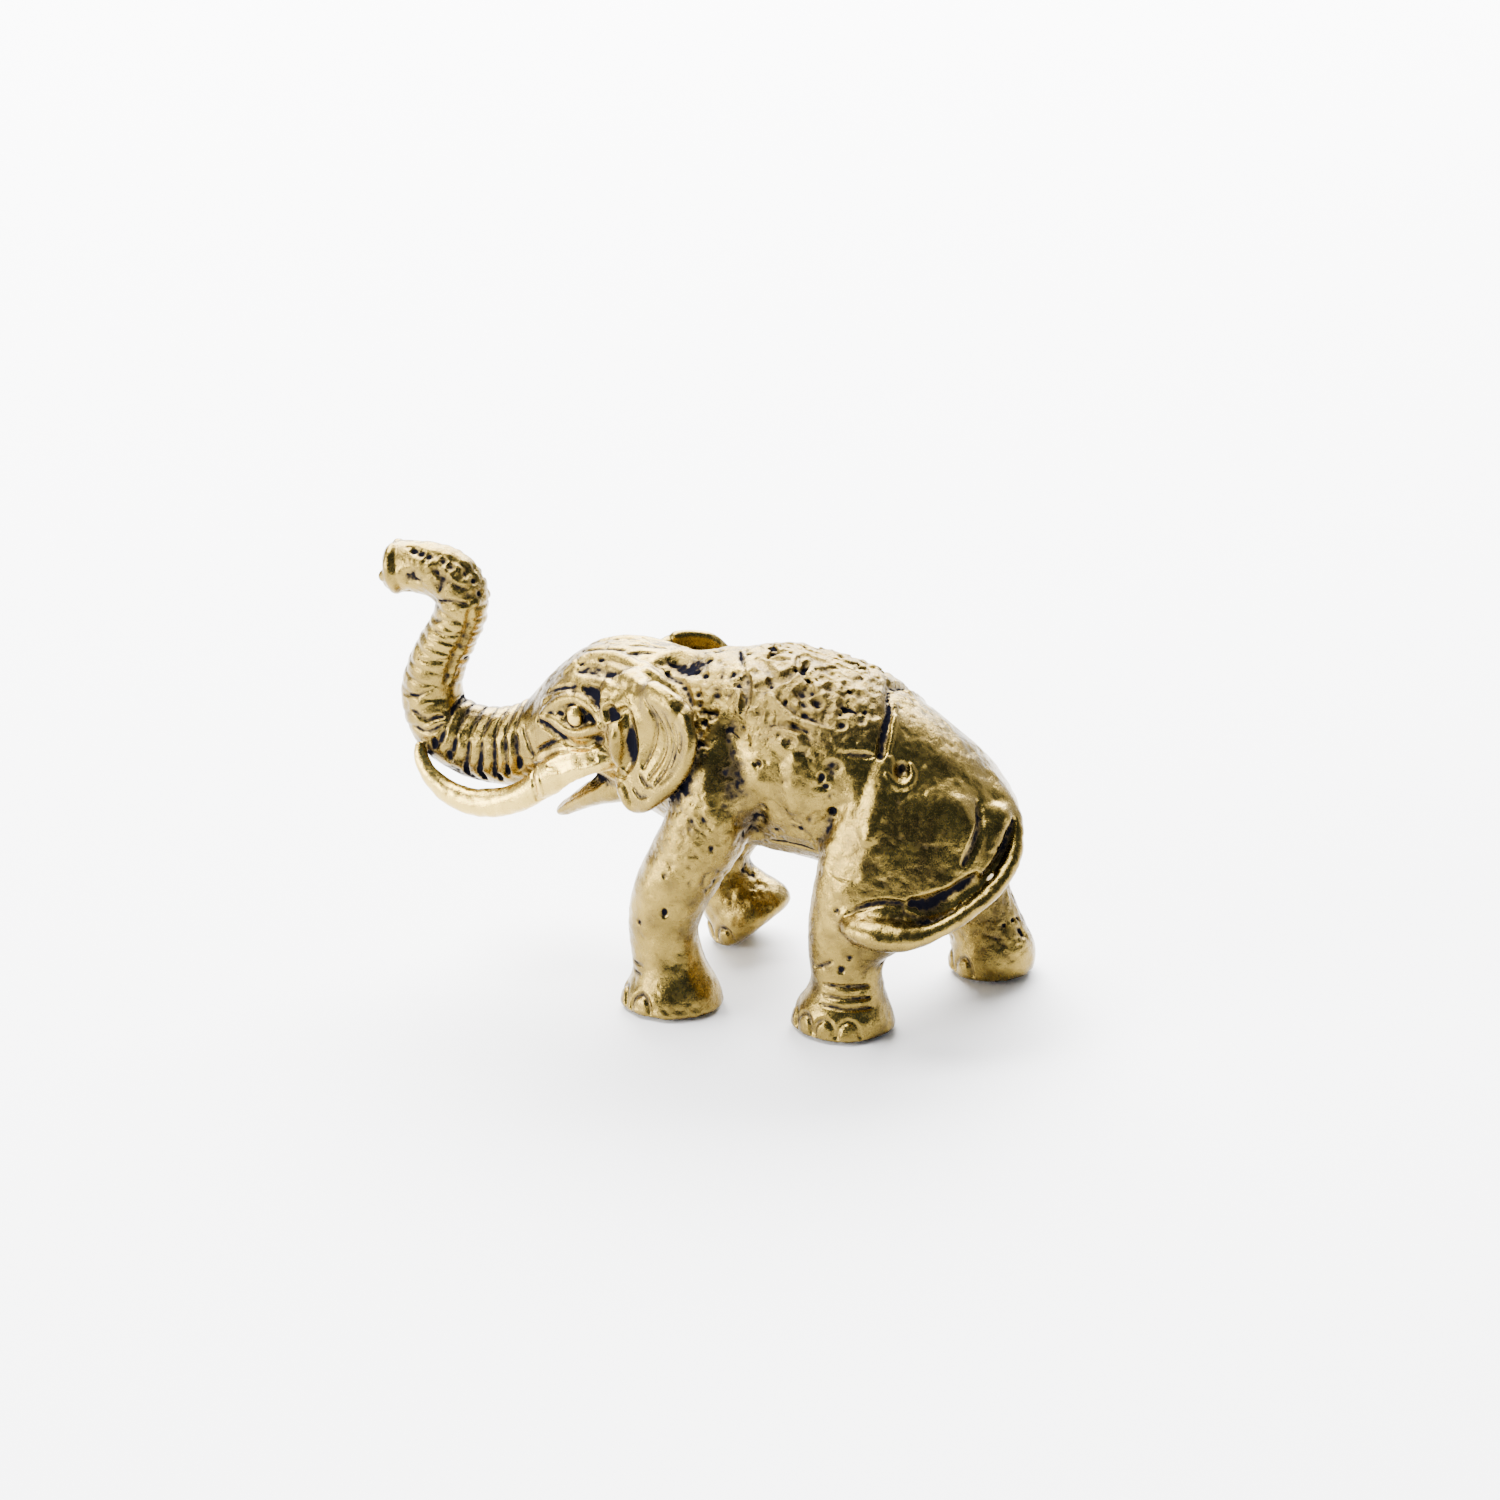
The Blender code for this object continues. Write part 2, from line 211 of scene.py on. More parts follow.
def smooth_path(path, spacing=0.3):
    """Points on a smooth curve (Catmull-Rom) through the points of a path."""
    points = np.array(path, float)
    ends = [2 * points[0] - points[1]], [2 * points[-1] - points[-2]]
    points = np.concatenate([ends[0], points, ends[1]])
    out = []
    for before, a, b, after in zip(points, points[1:], points[2:], points[3:]):
        count = max(1, int(np.linalg.norm(b - a) / spacing))
        for t in np.arange(count) / count:
            bend = (2 * before - 5 * a + 4 * b - after) * t * t + (3 * a - before - 3 * b + after) * t**3
            out.append(a + 0.5 * ((b - before) * t + bend))
    return np.array(out + [points[-2]])


def laid(points):
    """The points, moved onto the clay's surface."""
    points = np.array(points, float) + HOME
    for _ in range(4):
        slope = GRID.slope(CLAY, points, 3 * VOXEL)
        steepness = np.maximum(np.sum(slope * slope, axis=1), 0.3)
        points -= slope * (GRID.sample(CLAY, points) / steepness)[:, None]
    return points


def path_distance(axes, points, widths):
    """Distance of each voxel to a polyline, as a share of the line's width there."""
    x, y, z = axes
    nearest = np.float32(1e9)
    for a, b, wide, next_wide in zip(points, points[1:], widths, widths[1:]):
        run = b - a
        along = ((x - a[0]) * run[0] + (y - a[1]) * run[1] + (z - a[2]) * run[2]) / max(run @ run, 1e-9)
        along = np.clip(along, 0, 1)
        squared = (
            (x - a[0] - along * run[0]) ** 2
            + (y - a[1] - along * run[1]) ** 2
            + (z - a[2] - along * run[2]) ** 2
        )
        nearest = np.minimum(nearest, squared / (wide + along * (next_wide - wide)) ** 2)
    return np.sqrt(nearest)


def stroke(path, width, depth, taper=0.45):
    """Presses a groove along a path on the surface; a negative depth raises a ridge. Its ends taper."""
    points = laid(smooth_path(path))
    place = np.linspace(-1, 1, len(points))
    widths = width * (1 - taper * place**4)
    slices, axes = GRID.window(points.min(axis=0) - width, points.max(axis=0) + width)
    CLAY[slices] += depth * falloff(path_distance(axes, points, widths), 1)


def dab(centre, radii, depth):
    """Presses a rounded dent at a place on the surface; a negative depth raises a lump."""
    middle = laid([centre])[0]
    radii = np.array(radii if isinstance(radii, tuple) else (radii,) * 3, float)
    slices, axes = GRID.window(middle - radii, middle + radii)
    x, y, z = [(axis - m) / r for axis, m, r in zip(axes, middle, radii)]
    CLAY[slices] += depth * falloff(np.sqrt(x * x + y * y + z * z), 1)


PLANE_LIFT = 8.0  # a shaving plane has risen this far at its radius, clear of the clay
SOFT_CORE = 0.4  # a place is softened in full within this share of its radii


def shave(centre, normal, radius, fillet):
    """Planes off what stands out beyond a plane, within a radius of a point on it."""
    middle = np.array(centre, float) + HOME
    normal = np.array(normal, float) / np.linalg.norm(normal)
    slices, (x, y, z) = GRID.window(middle - radius, middle + radius)
    height = (x - middle[0]) * normal[0] + (y - middle[1]) * normal[1] + (z - middle[2]) * normal[2]
    away = np.sqrt((x - middle[0]) ** 2 + (y - middle[1]) ** 2 + (z - middle[2]) ** 2)
    height = height - PLANE_LIFT * (1 - falloff(np.maximum(away - radius / 2, 0), radius / 2))
    CLAY[slices] = -merged(-CLAY[slices], -height, fillet)


def fill(path, radius, fillet=0.6):
    """Adds a rope of clay along a path."""
    points = smooth_path(path) + HOME
    room = radius + REACH
    slices, axes = GRID.window(points.min(axis=0) - room, points.max(axis=0) + room)
    rope = (path_distance(axes, points, np.full(len(points), radius)) - 1) * radius
    CLAY[slices] = merged(CLAY[slices], np.minimum(rope, REACH), fillet)


def soften(centre, radii, sigma):
    """Smooths the clay round a place."""
    middle = np.array(centre, float) + HOME
    radii = np.array(radii, float)
    slices, axes = GRID.window(middle - radii, middle + radii)
    x, y, z = [(axis - m) / r for axis, m, r in zip(axes, middle, radii)]
    share = falloff(np.maximum(np.sqrt(x * x + y * y + z * z) - SOFT_CORE, 0), 1 - SOFT_CORE)
    CLAY[slices] += share * (blurred(CLAY[slices], sigma) - CLAY[slices])


def both(tool, place, *sizes):
    """Uses a tool at a place on the left side and at its mirror image on the right."""
    tool(place, *sizes)
    if isinstance(place[0], (int, float)):
        tool((place[0], -place[1], place[2]), *sizes)
    else:
        tool([(x, -y, z) for x, y, z in place], *sizes)


def noise(cell, seed):
    """Smooth random values on the whole grid, about -1 to 1, with lumps of one cell, in millimetres."""
    values = np.random.default_rng(seed)
    counts = [int(n * VOXEL / cell) + 3 for n in GRID.shape]
    lattice = values.uniform(-1, 1, counts).astype(np.float32)
    for axis, n in enumerate(GRID.shape):
        at = np.arange(n) * VOXEL / cell
        whole = at.astype(int)
        part = at - whole
        part = part * part * (3 - 2 * part)
        part = part.astype(np.float32).reshape([-1 if a == axis else 1 for a in range(3)])
        lattice = lattice.take(whole, axis) * (1 - part) + lattice.take(whole + 1, axis) * part
    return lattice


# -------------- the body


def rough_out():
    """The body, flowed together."""
    for node, fillet in (
        ("torso", 0.5),
        ("saddle_cloth", 0.5),
        ("head", 1.4),
        ("front_left_leg", 1.0),
        ("front_right_leg", 1.3),
        ("hind_left_leg", 0.8),
        ("hind_right_leg", 1.2),
        ("trunk", 1.8),
        ("lower_jaw", 0.5),
    ):
        join(node, fillet)
    CLAY[:] = blurred(CLAY, 0.26)
    both(soften, (4.8, -4.5, 17.6), (6.0, 3.5, 3.0), 0.6)
    both(soften, (9.1, -1.8, 18.6), (1.8, 4.0, 3.2), 0.7)
    both(soften, (0.2, -2.0, 20.2), (1.2, 3.5, 2.0), 0.4)
    thigh_planes()
    join("left_ear", 0.9, 0.12)
    join("right_ear", 0.9, 0.12)
    fill([(-6.4, -3.6, 18.2), (-6.3, -3.9, 17.6), (-6.3, -4.0, 17.0)], 1.15, 1.2)
    for _ in range(2):
        soften((-6.2, -4.3, 18.6), (2.2, 2.4, 2.1), 0.7)
    fill([(-6.0, -2.9, 19.3), (-5.2, -3.7, 19.2), (-4.4, -4.5, 19.2), (-3.6, -5.1, 19.1),
          (-2.8, -5.4, 18.8)], 0.42, 1.0)
    soften((-4.9, -4.2, 19.1), (1.8, 1.9, 1.5), 0.4)
    both(soften, (-7.3, -4.2, 15.6), (1.6, 2.0, 2.6), 0.5)
    join("left_tusk", 0.35, 0.1)
    join("right_tusk", 0.35, 0.1)
    join("tail", 1.0, 0.1)
    fill([(15.6, -1.8, 12.6), (15.3, -3.0, 11.3), (14.8, -4.0, 10.3), (13.8, -5.0, 9.6)], 0.8)


# -------------- the trunk

TRUNK_LINE = (
    (-11.4, 13.8), (-13.0, 13.4), (-15.1, 12.8), (-17.4, 12.9), (-19.4, 13.8), (-20.3, 15.7), (-19.6, 18.0),
    (-18.4, 20.1), (-17.7, 21.8), (-18.3, 23.2), (-20.0, 23.6), (-22.6, 23.5),
)  # X and Z of the trunk's middle, from its root to its tip

# Where wrinkles cross that line.
TRUNK_WRINKLES = (
    (-19.9, 14.4), (-20.2, 15.3), (-20.2, 16.2), (-19.9, 17.1), (-19.6, 17.9), (-19.2, 18.6), (-18.9, 19.2),
    (-18.6, 19.8), (-18.3, 20.4), (-18.0, 21.1), (-17.7, 21.9),
)
WRINKLE_DEPTH = 0.085
WRINKLE_WIDTH = 0.26
TRUNK_RADIUS = 2.6  # nothing further from the middle line is wrinkled


def along_trunk(x, z):
    """How far along the trunk's middle line a place lies, and how far from that line, seen from the side."""
    points = np.array(TRUNK_LINE)
    travelled = 0.0
    nearest = np.float32(1e9)
    place = np.float32(0)
    for a, b in zip(points, points[1:]):
        run = b - a
        length = math.hypot(*run)
        along = np.clip(((x - a[0]) * run[0] + (z - a[1]) * run[1]) / length**2, 0, 1)
        squared = (x - a[0] - along * run[0]) ** 2 + (z - a[1] - along * run[1]) ** 2
        place = np.where(squared < nearest, travelled + along * length, place)
        nearest = np.minimum(nearest, squared)
        travelled += length
    return place, np.sqrt(nearest)


def trunk_wrinkles():
    """Wrinkles round the upright stretch of the trunk."""
    low, high = [np.array(corner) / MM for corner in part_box("trunk")]
    slices, (x, y, z) = GRID.window(low - 0.5, high + 0.5)
    place, away = along_trunk(x - HOME[0], z - HOME[2])
    place = place + 0.3 * noise(1.9, 11)[slices]
    strength = 0.75 + 0.45 * noise(1.3, 12)[slices]
    for wrinkle in TRUNK_WRINKLES:
        beside = np.abs(place - along_trunk(*wrinkle)[0])
        CLAY[slices] += WRINKLE_DEPTH * strength * falloff(beside, WRINKLE_WIDTH) * (away < TRUNK_RADIUS)


def trunk_sides():
    """Chased wrinkles on the trunk's sides, a crease along them and notches on its rear edge."""
    for path in (
        [(-19.6, -1.1, 20.8), (-18.6, -1.6, 21.0), (-17.6, -1.5, 21.0)],
        [(-19.4, -1.4, 20.3), (-18.3, -1.6, 20.1), (-17.4, -1.4, 20.2)],
        [(-19.5, -1.4, 19.8), (-18.6, -1.7, 19.7), (-17.9, -1.5, 19.5)],
        [(-19.7, -1.4, 19.2), (-19.0, -1.7, 19.1), (-18.3, -1.6, 18.9)],
        [(-20.2, -1.4, 18.4), (-19.2, -1.7, 18.4), (-18.3, -1.5, 18.5)],
        [(-21.2, -1.3, 16.0), (-20.2, -1.7, 16.2), (-19.3, -1.7, 16.7)],
    ):
        both(stroke, path, 0.19, 0.17)
    both(stroke, [(-17.0, -1.3, 21.6), (-17.1, -1.3, 20.4), (-17.9, -1.4, 18.7),
                  (-18.5, -1.3, 17.0)], 0.5, 0.14)
    for x, z in ((-16.3, 21.8), (-16.4, 21.0), (-16.7, 20.1), (-17.1, 19.2), (-17.6, 18.3)):
        stroke([(x - 0.3, -1.1, z), (x, 0, z + 0.05), (x - 0.3, 1.1, z)], 0.2, 0.14)
    for path in (
        [(-20.6, -1.7, 15.2), (-19.6, -1.9, 14.8), (-18.6, -1.9, 15.1)],
        [(-20.4, -1.7, 14.1), (-19.4, -2.0, 14.1), (-18.5, -2.0, 14.7)],
    ):
        both(stroke, path, 0.3, 0.16)


def trunk_root():
    """Finger-like folds that run down to the trunk's lower edge, and creases over its bridge."""
    for x, z, foot_x, foot_z in (
        (-18.4, 14.4, -19.2, 13.0),
        (-17.7, 14.0, -18.3, 12.3),
        (-16.9, 13.9, -17.3, 11.7),
        (-16.1, 13.9, -16.4, 11.4),
        (-15.3, 14.0, -15.4, 11.4),
        (-14.6, 14.3, -14.6, 11.9),
        (-14.0, 14.7, -13.8, 12.6),
    ):
        middle = ((x + foot_x) / 2 + 0.1, -2.2, (z + foot_z) / 2)
        both(stroke, [(x, -2.0, z), middle, (foot_x, -1.9, foot_z)], 0.3, 0.28, 0.7)
        both(dab, (foot_x + 0.1, -2.0, foot_z + 0.3), (0.3, 0.7, 0.6), 0.34)
        both(stroke, [(x, -2.0, z), (x + 0.2, -1.0, z + 1.0), (x + 0.25, 0, z + 1.25)], 0.22, 0.1)
    both(stroke, [(-13.3, -1.9, 15.0), (-12.9, -2.4, 14.0), (-12.7, -2.6, 13.4)], 0.2, 0.2)


def trunk_tip():
    """The curl's row of pits and plates, and the flared lip with its nostrils."""
    pits = (
        (-20.6, -0.8, 24.9), (-20.1, -0.9, 24.85), (-19.6, -1.0, 24.8), (-18.7, -1.0, 24.6),
        (-18.2, -1.1, 24.3), (-17.3, -0.9, 23.9), (-16.9, -0.7, 23.4), (-16.6, -0.6, 22.6),
    )
    both(stroke, [(-21.1, -0.6, 25.0), (-19.6, -0.9, 24.9), (-18.2, -0.8, 24.6), (-17.2, -0.6, 24.0),
                  (-16.6, -0.4, 23.2)], 0.3, 0.14)
    for x, y, z in pits:
        both(dab, (x, y, z), 0.34, 0.42)
        both(dab, (x + 0.1, y - 0.45, z - 0.45), 0.42, -0.16)
    both(stroke, [(-19.2, -1.5, 24.2), (-18.6, -1.6, 23.6), (-18.8, -1.6, 22.8)], 0.3, 0.2)
    both(stroke, [(-18.2, -1.6, 23.6), (-17.6, -1.6, 23.2), (-17.0, -1.4, 23.1)], 0.24, 0.18)
    both(stroke, [(-19.0, -1.5, 22.1), (-18.0, -1.7, 22.3), (-17.0, -1.4, 22.1)], 0.26, 0.16)
    both(dab, (-16.9, -1.2, 22.8), (0.8, 0.8, 0.7), 0.2)
    both(dab, (-20.6, -1.5, 23.4), (0.9, 0.8, 0.8), 0.22)
    both(stroke, [(-22.2, -0.5, 25.0), (-22.2, -1.2, 24.4), (-22.1, -1.5, 23.5), (-21.9, -1.2, 22.6),
                  (-21.9, -0.5, 22.2)], 0.55, -0.34)
    dab((-23.0, 0.0, 23.6), (1.0, 1.0, 0.9), 0.5)
    both(dab, (-22.9, -0.5, 23.6), 0.5, 0.5)
    both(dab, (-22.6, -1.2, 23.2), 0.5, -0.3)


# -------------- the head


def eye():
    """Almond lids round a sunken opening, with a deep fold below and dark pockets behind the brow."""
    both(dab, (-9.5, -3.9, 16.9), (1.5, 1.0, 0.85), 0.3)
    both(stroke, [(-12.0, -2.8, 16.2), (-11.3, -3.0, 17.0), (-10.3, -3.4, 17.7), (-9.3, -3.6, 17.8),
                  (-8.3, -4.0, 17.4), (-7.4, -4.1, 16.9)], 0.42, -0.5, 0.3)
    both(stroke, [(-11.9, -2.9, 16.3), (-10.9, -3.4, 16.2), (-10.0, -3.8, 15.85), (-9.1, -4.0, 15.85),
                  (-8.2, -4.1, 16.3), (-7.4, -4.1, 16.8)], 0.4, -0.5, 0.3)
    both(dab, (-10.6, -3.5, 16.75), (0.36, 0.5, 0.22), 0.26)
    both(dab, (-8.45, -4.1, 16.9), (0.5, 0.6, 0.36), 0.4)
    both(dab, (-9.5, -4.0, 16.95), (0.8, 0.8, 0.85), -0.4)
    both(stroke, [(-12.2, -2.6, 15.8), (-11.3, -3.2, 15.65), (-10.5, -3.6, 15.3), (-9.7, -3.8, 15.05),
                  (-8.7, -4.0, 15.15), (-7.9, -4.1, 15.6), (-7.5, -4.2, 16.1)], 0.42, 0.5, 0.3)
    both(stroke, [(-9.1, -3.4, 18.5), (-8.5, -3.6, 18.4), (-8.0, -3.8, 18.0), (-7.7, -4.0, 17.7)], 0.5, 0.65)
    both(dab, (-6.9, -4.6, 17.55), (0.65, 0.8, 0.6), 0.8)
    both(stroke, [(-11.8, -2.3, 17.6), (-10.9, -2.8, 18.1), (-9.8, -3.1, 18.45)], 0.3, 0.16)
    both(dab, (-11.9, -2.5, 17.0), 0.5, -0.2)


def brow_and_cheek():
    """The temple ridge, lines over the crown, the tusk's lip sheath, its collar and the mouth."""
    both(stroke, [(-11.0, -2.0, 19.0), (-9.7, -1.5, 19.9), (-8.0, -1.6, 20.1), (-6.7, -1.9, 19.9),
                  (-5.4, -2.3, 19.4), (-4.2, -2.7, 19.0)], 0.5, -0.26)
    both(stroke, [(-10.2, -0.7, 20.0), (-8.8, -0.9, 20.2), (-7.4, -1.1, 20.2)], 0.2, 0.2)
    both(stroke, [(-7.1, -1.4, 20.1), (-6.3, -1.0, 20.2), (-5.6, -0.8, 20.1)], 0.2, 0.22)
    both(stroke, [(-7.3, -0.5, 20.4), (-6.4, -0.2, 20.4), (-5.3, 0.0, 20.2)], 0.18, 0.2)
    both(stroke, [(-9.8, -2.4, 19.2), (-8.3, -2.7, 19.4), (-6.9, -3.0, 19.3)], 0.6, 0.16)
    both(stroke, [(-12.6, -2.6, 13.2), (-11.6, -3.0, 14.0), (-10.4, -3.5, 14.8), (-8.9, -4.0, 15.2),
                  (-7.7, -4.1, 14.9)], 0.5, -0.26)
    both(stroke, [(-12.3, -2.6, 14.0), (-11.4, -3.0, 14.6), (-10.4, -3.4, 15.2)], 0.2, 0.2)
    both(stroke, [(-10.9, -3.8, 13.4), (-9.6, -4.2, 14.1), (-8.3, -4.2, 14.4)], 0.6, 0.2)
    both(stroke, [(-12.2, -3.2, 13.0), (-12.1, -3.9, 12.7), (-11.95, -4.2, 12.2),
                  (-12.0, -3.8, 11.5)], 0.2, 0.22)
    both(stroke, [(-11.8, -3.4, 13.2), (-11.75, -4.0, 12.9), (-11.6, -4.3, 12.3),
                  (-11.6, -3.9, 11.7)], 0.26, -0.14)
    for path in (
        [(-10.6, -3.0, 11.4), (-9.7, -3.3, 12.1), (-8.8, -3.6, 12.6), (-7.7, -3.8, 12.9)],
        [(-10.3, -2.2, 11.3), (-9.4, -2.6, 11.9), (-8.5, -3.0, 12.4), (-7.6, -3.4, 12.7)],
    ):
        both(stroke, path, 0.75, 0.95, 0.3)
    both(stroke, [(-12.0, -0.7, 9.3), (-11.1, -1.2, 10.2), (-9.8, -1.8, 11.2),
                  (-8.6, -2.2, 11.9)], 0.35, -0.2)
    both(stroke, [(-19.6, -2.0, 12.6), (-18.6, -2.3, 11.8), (-17.2, -2.5, 11.3), (-15.6, -2.6, 11.2),
                  (-14.2, -2.7, 11.9)], 0.32, 0.5)


def left_ear():
    """A rolled rim round a shallow dish with ribs, and the tragus in its dark hollow."""
    dab((-3.9, -6.1, 16.4), (2.0, 1.4, 2.8), 0.42)
    stroke([(-5.4, -2.5, 19.6), (-4.2, -3.1, 19.25), (-3.0, -4.3, 18.8), (-2.0, -5.9, 18.3),
            (-1.5, -6.5, 17.2), (-1.65, -6.6, 15.9), (-2.4, -6.4, 14.6), (-3.4, -6.2, 13.4),
            (-4.4, -5.9, 12.5), (-5.3, -5.5, 12.2), (-6.1, -5.3, 13.2)], 0.6, -0.42, 0.2)
    for path, depth in (
        ([(-4.5, -5.3, 19.0), (-3.9, -5.7, 17.8), (-4.1, -5.7, 16.4), (-4.7, -5.7, 14.9)], 0.26),
        ([(-4.0, -5.4, 18.7), (-3.4, -5.9, 17.2), (-3.6, -6.0, 15.8), (-4.3, -6.0, 14.4)], 0.2),
        ([(-3.2, -5.9, 18.2), (-2.9, -6.2, 16.9), (-3.2, -6.2, 15.5), (-3.8, -6.2, 14.1)], 0.24),
        ([(-2.7, -6.1, 17.9), (-2.45, -6.3, 16.7), (-2.8, -6.3, 15.4)], 0.2),
        ([(-2.2, -6.3, 17.5), (-2.15, -6.4, 16.4)], 0.16),
        ([(-4.9, -5.7, 14.4), (-4.4, -6.0, 13.9), (-3.9, -6.1, 13.9)], 0.2),
        ([(-5.3, -5.6, 13.5), (-4.8, -5.8, 13.1), (-4.3, -6.0, 13.2)], 0.24),
    ):
        stroke(path, 0.2, depth)
    hollow_of_ear(-1)


def right_ear():
    """The same on the right ear, which is shorter."""
    dab((-4.4, 6.2, 16.2), (1.6, 1.4, 2.4), 0.4)
    stroke([(-6.0, 4.2, 19.8), (-4.4, 5.2, 19.3), (-3.2, 6.2, 18.0), (-2.6, 6.7, 16.6), (-2.7, 6.8, 15.1),
            (-3.5, 6.4, 13.7), (-4.8, 6.0, 12.6), (-5.9, 5.5, 12.7)], 0.6, -0.4, 0.2)
    for x, low, high in ((-3.3, 14.6, 17.6), (-3.8, 14.2, 18.1), (-4.4, 14.0, 18.3)):
        stroke([(x - 0.2, 6.1, high), (x, 6.2, (low + high) / 2), (x - 0.4, 6.2, low)], 0.2, 0.22)
    hollow_of_ear(1)


def hollow_of_ear(side):
    """The dark hollow with the tragus standing in it, and the fold in front."""
    def line(path, width, depth):
        stroke([(x, side * y, z) for x, y, z in path], width, depth, 0.3)

    dab((-6.75, side * 5.0, 15.7), (0.66, 1.1, 1.6), -0.5)
    dab((-6.6, side * 5.2, 16.3), (0.45, 0.6, 0.6), -0.16)
    line([(-5.8, 5.1, 17.7), (-5.65, 5.3, 17.0), (-5.6, 5.4, 16.0), (-5.7, 5.3, 15.2),
          (-6.0, 5.2, 14.5)], 0.62, 1.4)
    line([(-7.1, 4.7, 17.1), (-6.7, 4.9, 17.6), (-5.9, 5.1, 17.9)], 0.42, 0.6)
    line([(-7.4, 4.4, 16.2), (-7.35, 4.4, 15.4), (-7.05, 4.6, 14.6), (-6.5, 4.9, 14.1),
          (-6.0, 5.2, 14.0)], 0.34, 0.75)


# -------------- neck, saddle and flanks


def neck():
    """The dip behind the head, a crease down from it and coarse pits."""
    both(dab, (-3.5, -1.5, 19.9), (2.0, 1.6, 1.4), 0.6)
    both(stroke, [(-4.3, -2.0, 19.6), (-3.3, -2.8, 19.3), (-2.4, -3.8, 18.4)], 0.4, 0.4)
    for place in ((-2.0, -2.4, 19.8), (-2.1, -1.3, 20.3), (-2.1, -3.4, 18.9), (-0.9, -3.6, 19.1),
                  (-1.6, -4.2, 18.2), (-1.9, -4.0, 18.6), (-1.3, -4.6, 17.6)):
        both(dab, place, 0.3, 0.34)


def saddle():
    """The cloth's two hems, its ornament of leaves and dots, and the boss on its lower edge."""
    both(stroke, [(-0.5, -0.3, 20.7), (0.2, -2.2, 20.5), (0.7, -3.3, 19.9)], 0.2, 0.24)
    both(stroke, [(0.5, -2.8, 20.3), (0.9, -3.7, 19.7), (1.0, -4.2, 19.1),
                  (0.95, -4.5, 18.6)], 0.42, 0.8, 0.4)
    both(stroke, [(8.75, 0.0, 19.8), (9.05, -1.3, 19.4), (9.3, -2.9, 18.4), (9.4, -3.9, 17.5),
                  (9.3, -4.3, 16.8)], 0.42, 0.85, 0.2)
    both(stroke, [(9.35, -1.2, 19.2), (9.7, -3.0, 18.1), (9.8, -4.0, 17.0)], 0.34, -0.12)
    both(stroke, [(7.2, -4.9, 16.85), (8.1, -4.7, 16.8), (9.0, -4.3, 16.7)], 0.3, 0.3, 0.8)
    both(stroke, [(3.2, -0.4, 21.2), (4.6, -0.5, 21.0), (6.1, -0.4, 20.6), (7.3, -0.4, 20.2)], 0.2, 0.26)
    both(stroke, [(0.8, -1.5, 21.0), (1.7, -2.2, 20.7), (2.6, -2.9, 20.2)], 0.42, 0.3)
    both(stroke, [(1.4, -3.6, 19.9), (2.1, -3.4, 20.0), (2.8, -3.1, 20.1)], 0.34, 0.26)
    both(stroke, [(2.3, -3.3, 20.0), (2.9, -2.8, 20.3), (3.4, -2.1, 20.6)], 0.42, 0.4)
    both(stroke, [(1.6, -1.4, 21.0), (2.2, -1.4, 21.0), (2.8, -1.3, 20.9)], 0.26, 0.34)
    both(stroke, [(2.3, -0.2, 21.2), (1.7, -1.0, 21.1), (1.0, -1.5, 20.9)], 0.2, 0.22)
    both(stroke, [(3.3, -0.6, 21.1), (3.3, -1.3, 20.9), (3.8, -2.1, 20.5), (4.6, -2.8, 20.1)], 0.2, 0.22)
    both(stroke, [(2.3, -3.8, 19.6), (3.1, -4.2, 19.2), (4.0, -4.6, 18.6), (5.2, -4.7, 18.4),
                  (6.3, -4.6, 18.1)], 0.4, -0.2)
    both(stroke, [(3.0, -3.7, 19.6), (3.7, -4.1, 19.1), (4.6, -4.3, 18.8), (5.6, -4.4, 18.5)], 0.26, 0.26)
    for x, y, z, size in ((4.2, -3.3, 19.7, 0.6), (4.5, -3.9, 19.3, 0.4), (5.3, -3.6, 19.4, 0.42),
                          (5.7, -2.5, 20.0, 0.42), (5.1, -2.0, 20.3, 0.3), (3.9, -1.3, 20.8, 0.3),
                          (5.2, -1.1, 20.6, 0.3), (6.6, -3.2, 19.3, 0.4), (7.4, -2.2, 19.6, 0.34),
                          (6.9, -4.2, 18.4, 0.4), (7.9, -3.4, 18.5, 0.34), (6.4, -1.9, 20.1, 0.3),
                          (2.0, -4.5, 18.7, 0.32), (2.6, -4.6, 18.7, 0.3), (0.1, -2.4, 20.2, 0.3)):
        both(dab, (x, y, z), size, 0.85 * size)
    both(dab, (4.0, -5.3, 17.4), (1.3, 0.9, 1.0), -0.3)
    both(stroke, [(1.5, -5.3, 17.6), (2.4, -5.1, 18.05), (3.3, -5.0, 18.3), (4.1, -5.0, 18.35),
                  (5.0, -5.1, 18.1)], 0.3, 0.3)
    both(dab, (4.1, -5.5, 17.4), (0.55, 0.6, 0.5), 0.75)
    both(dab, (3.5, -5.3, 17.7), (0.4, 0.5, 0.4), 0.3)


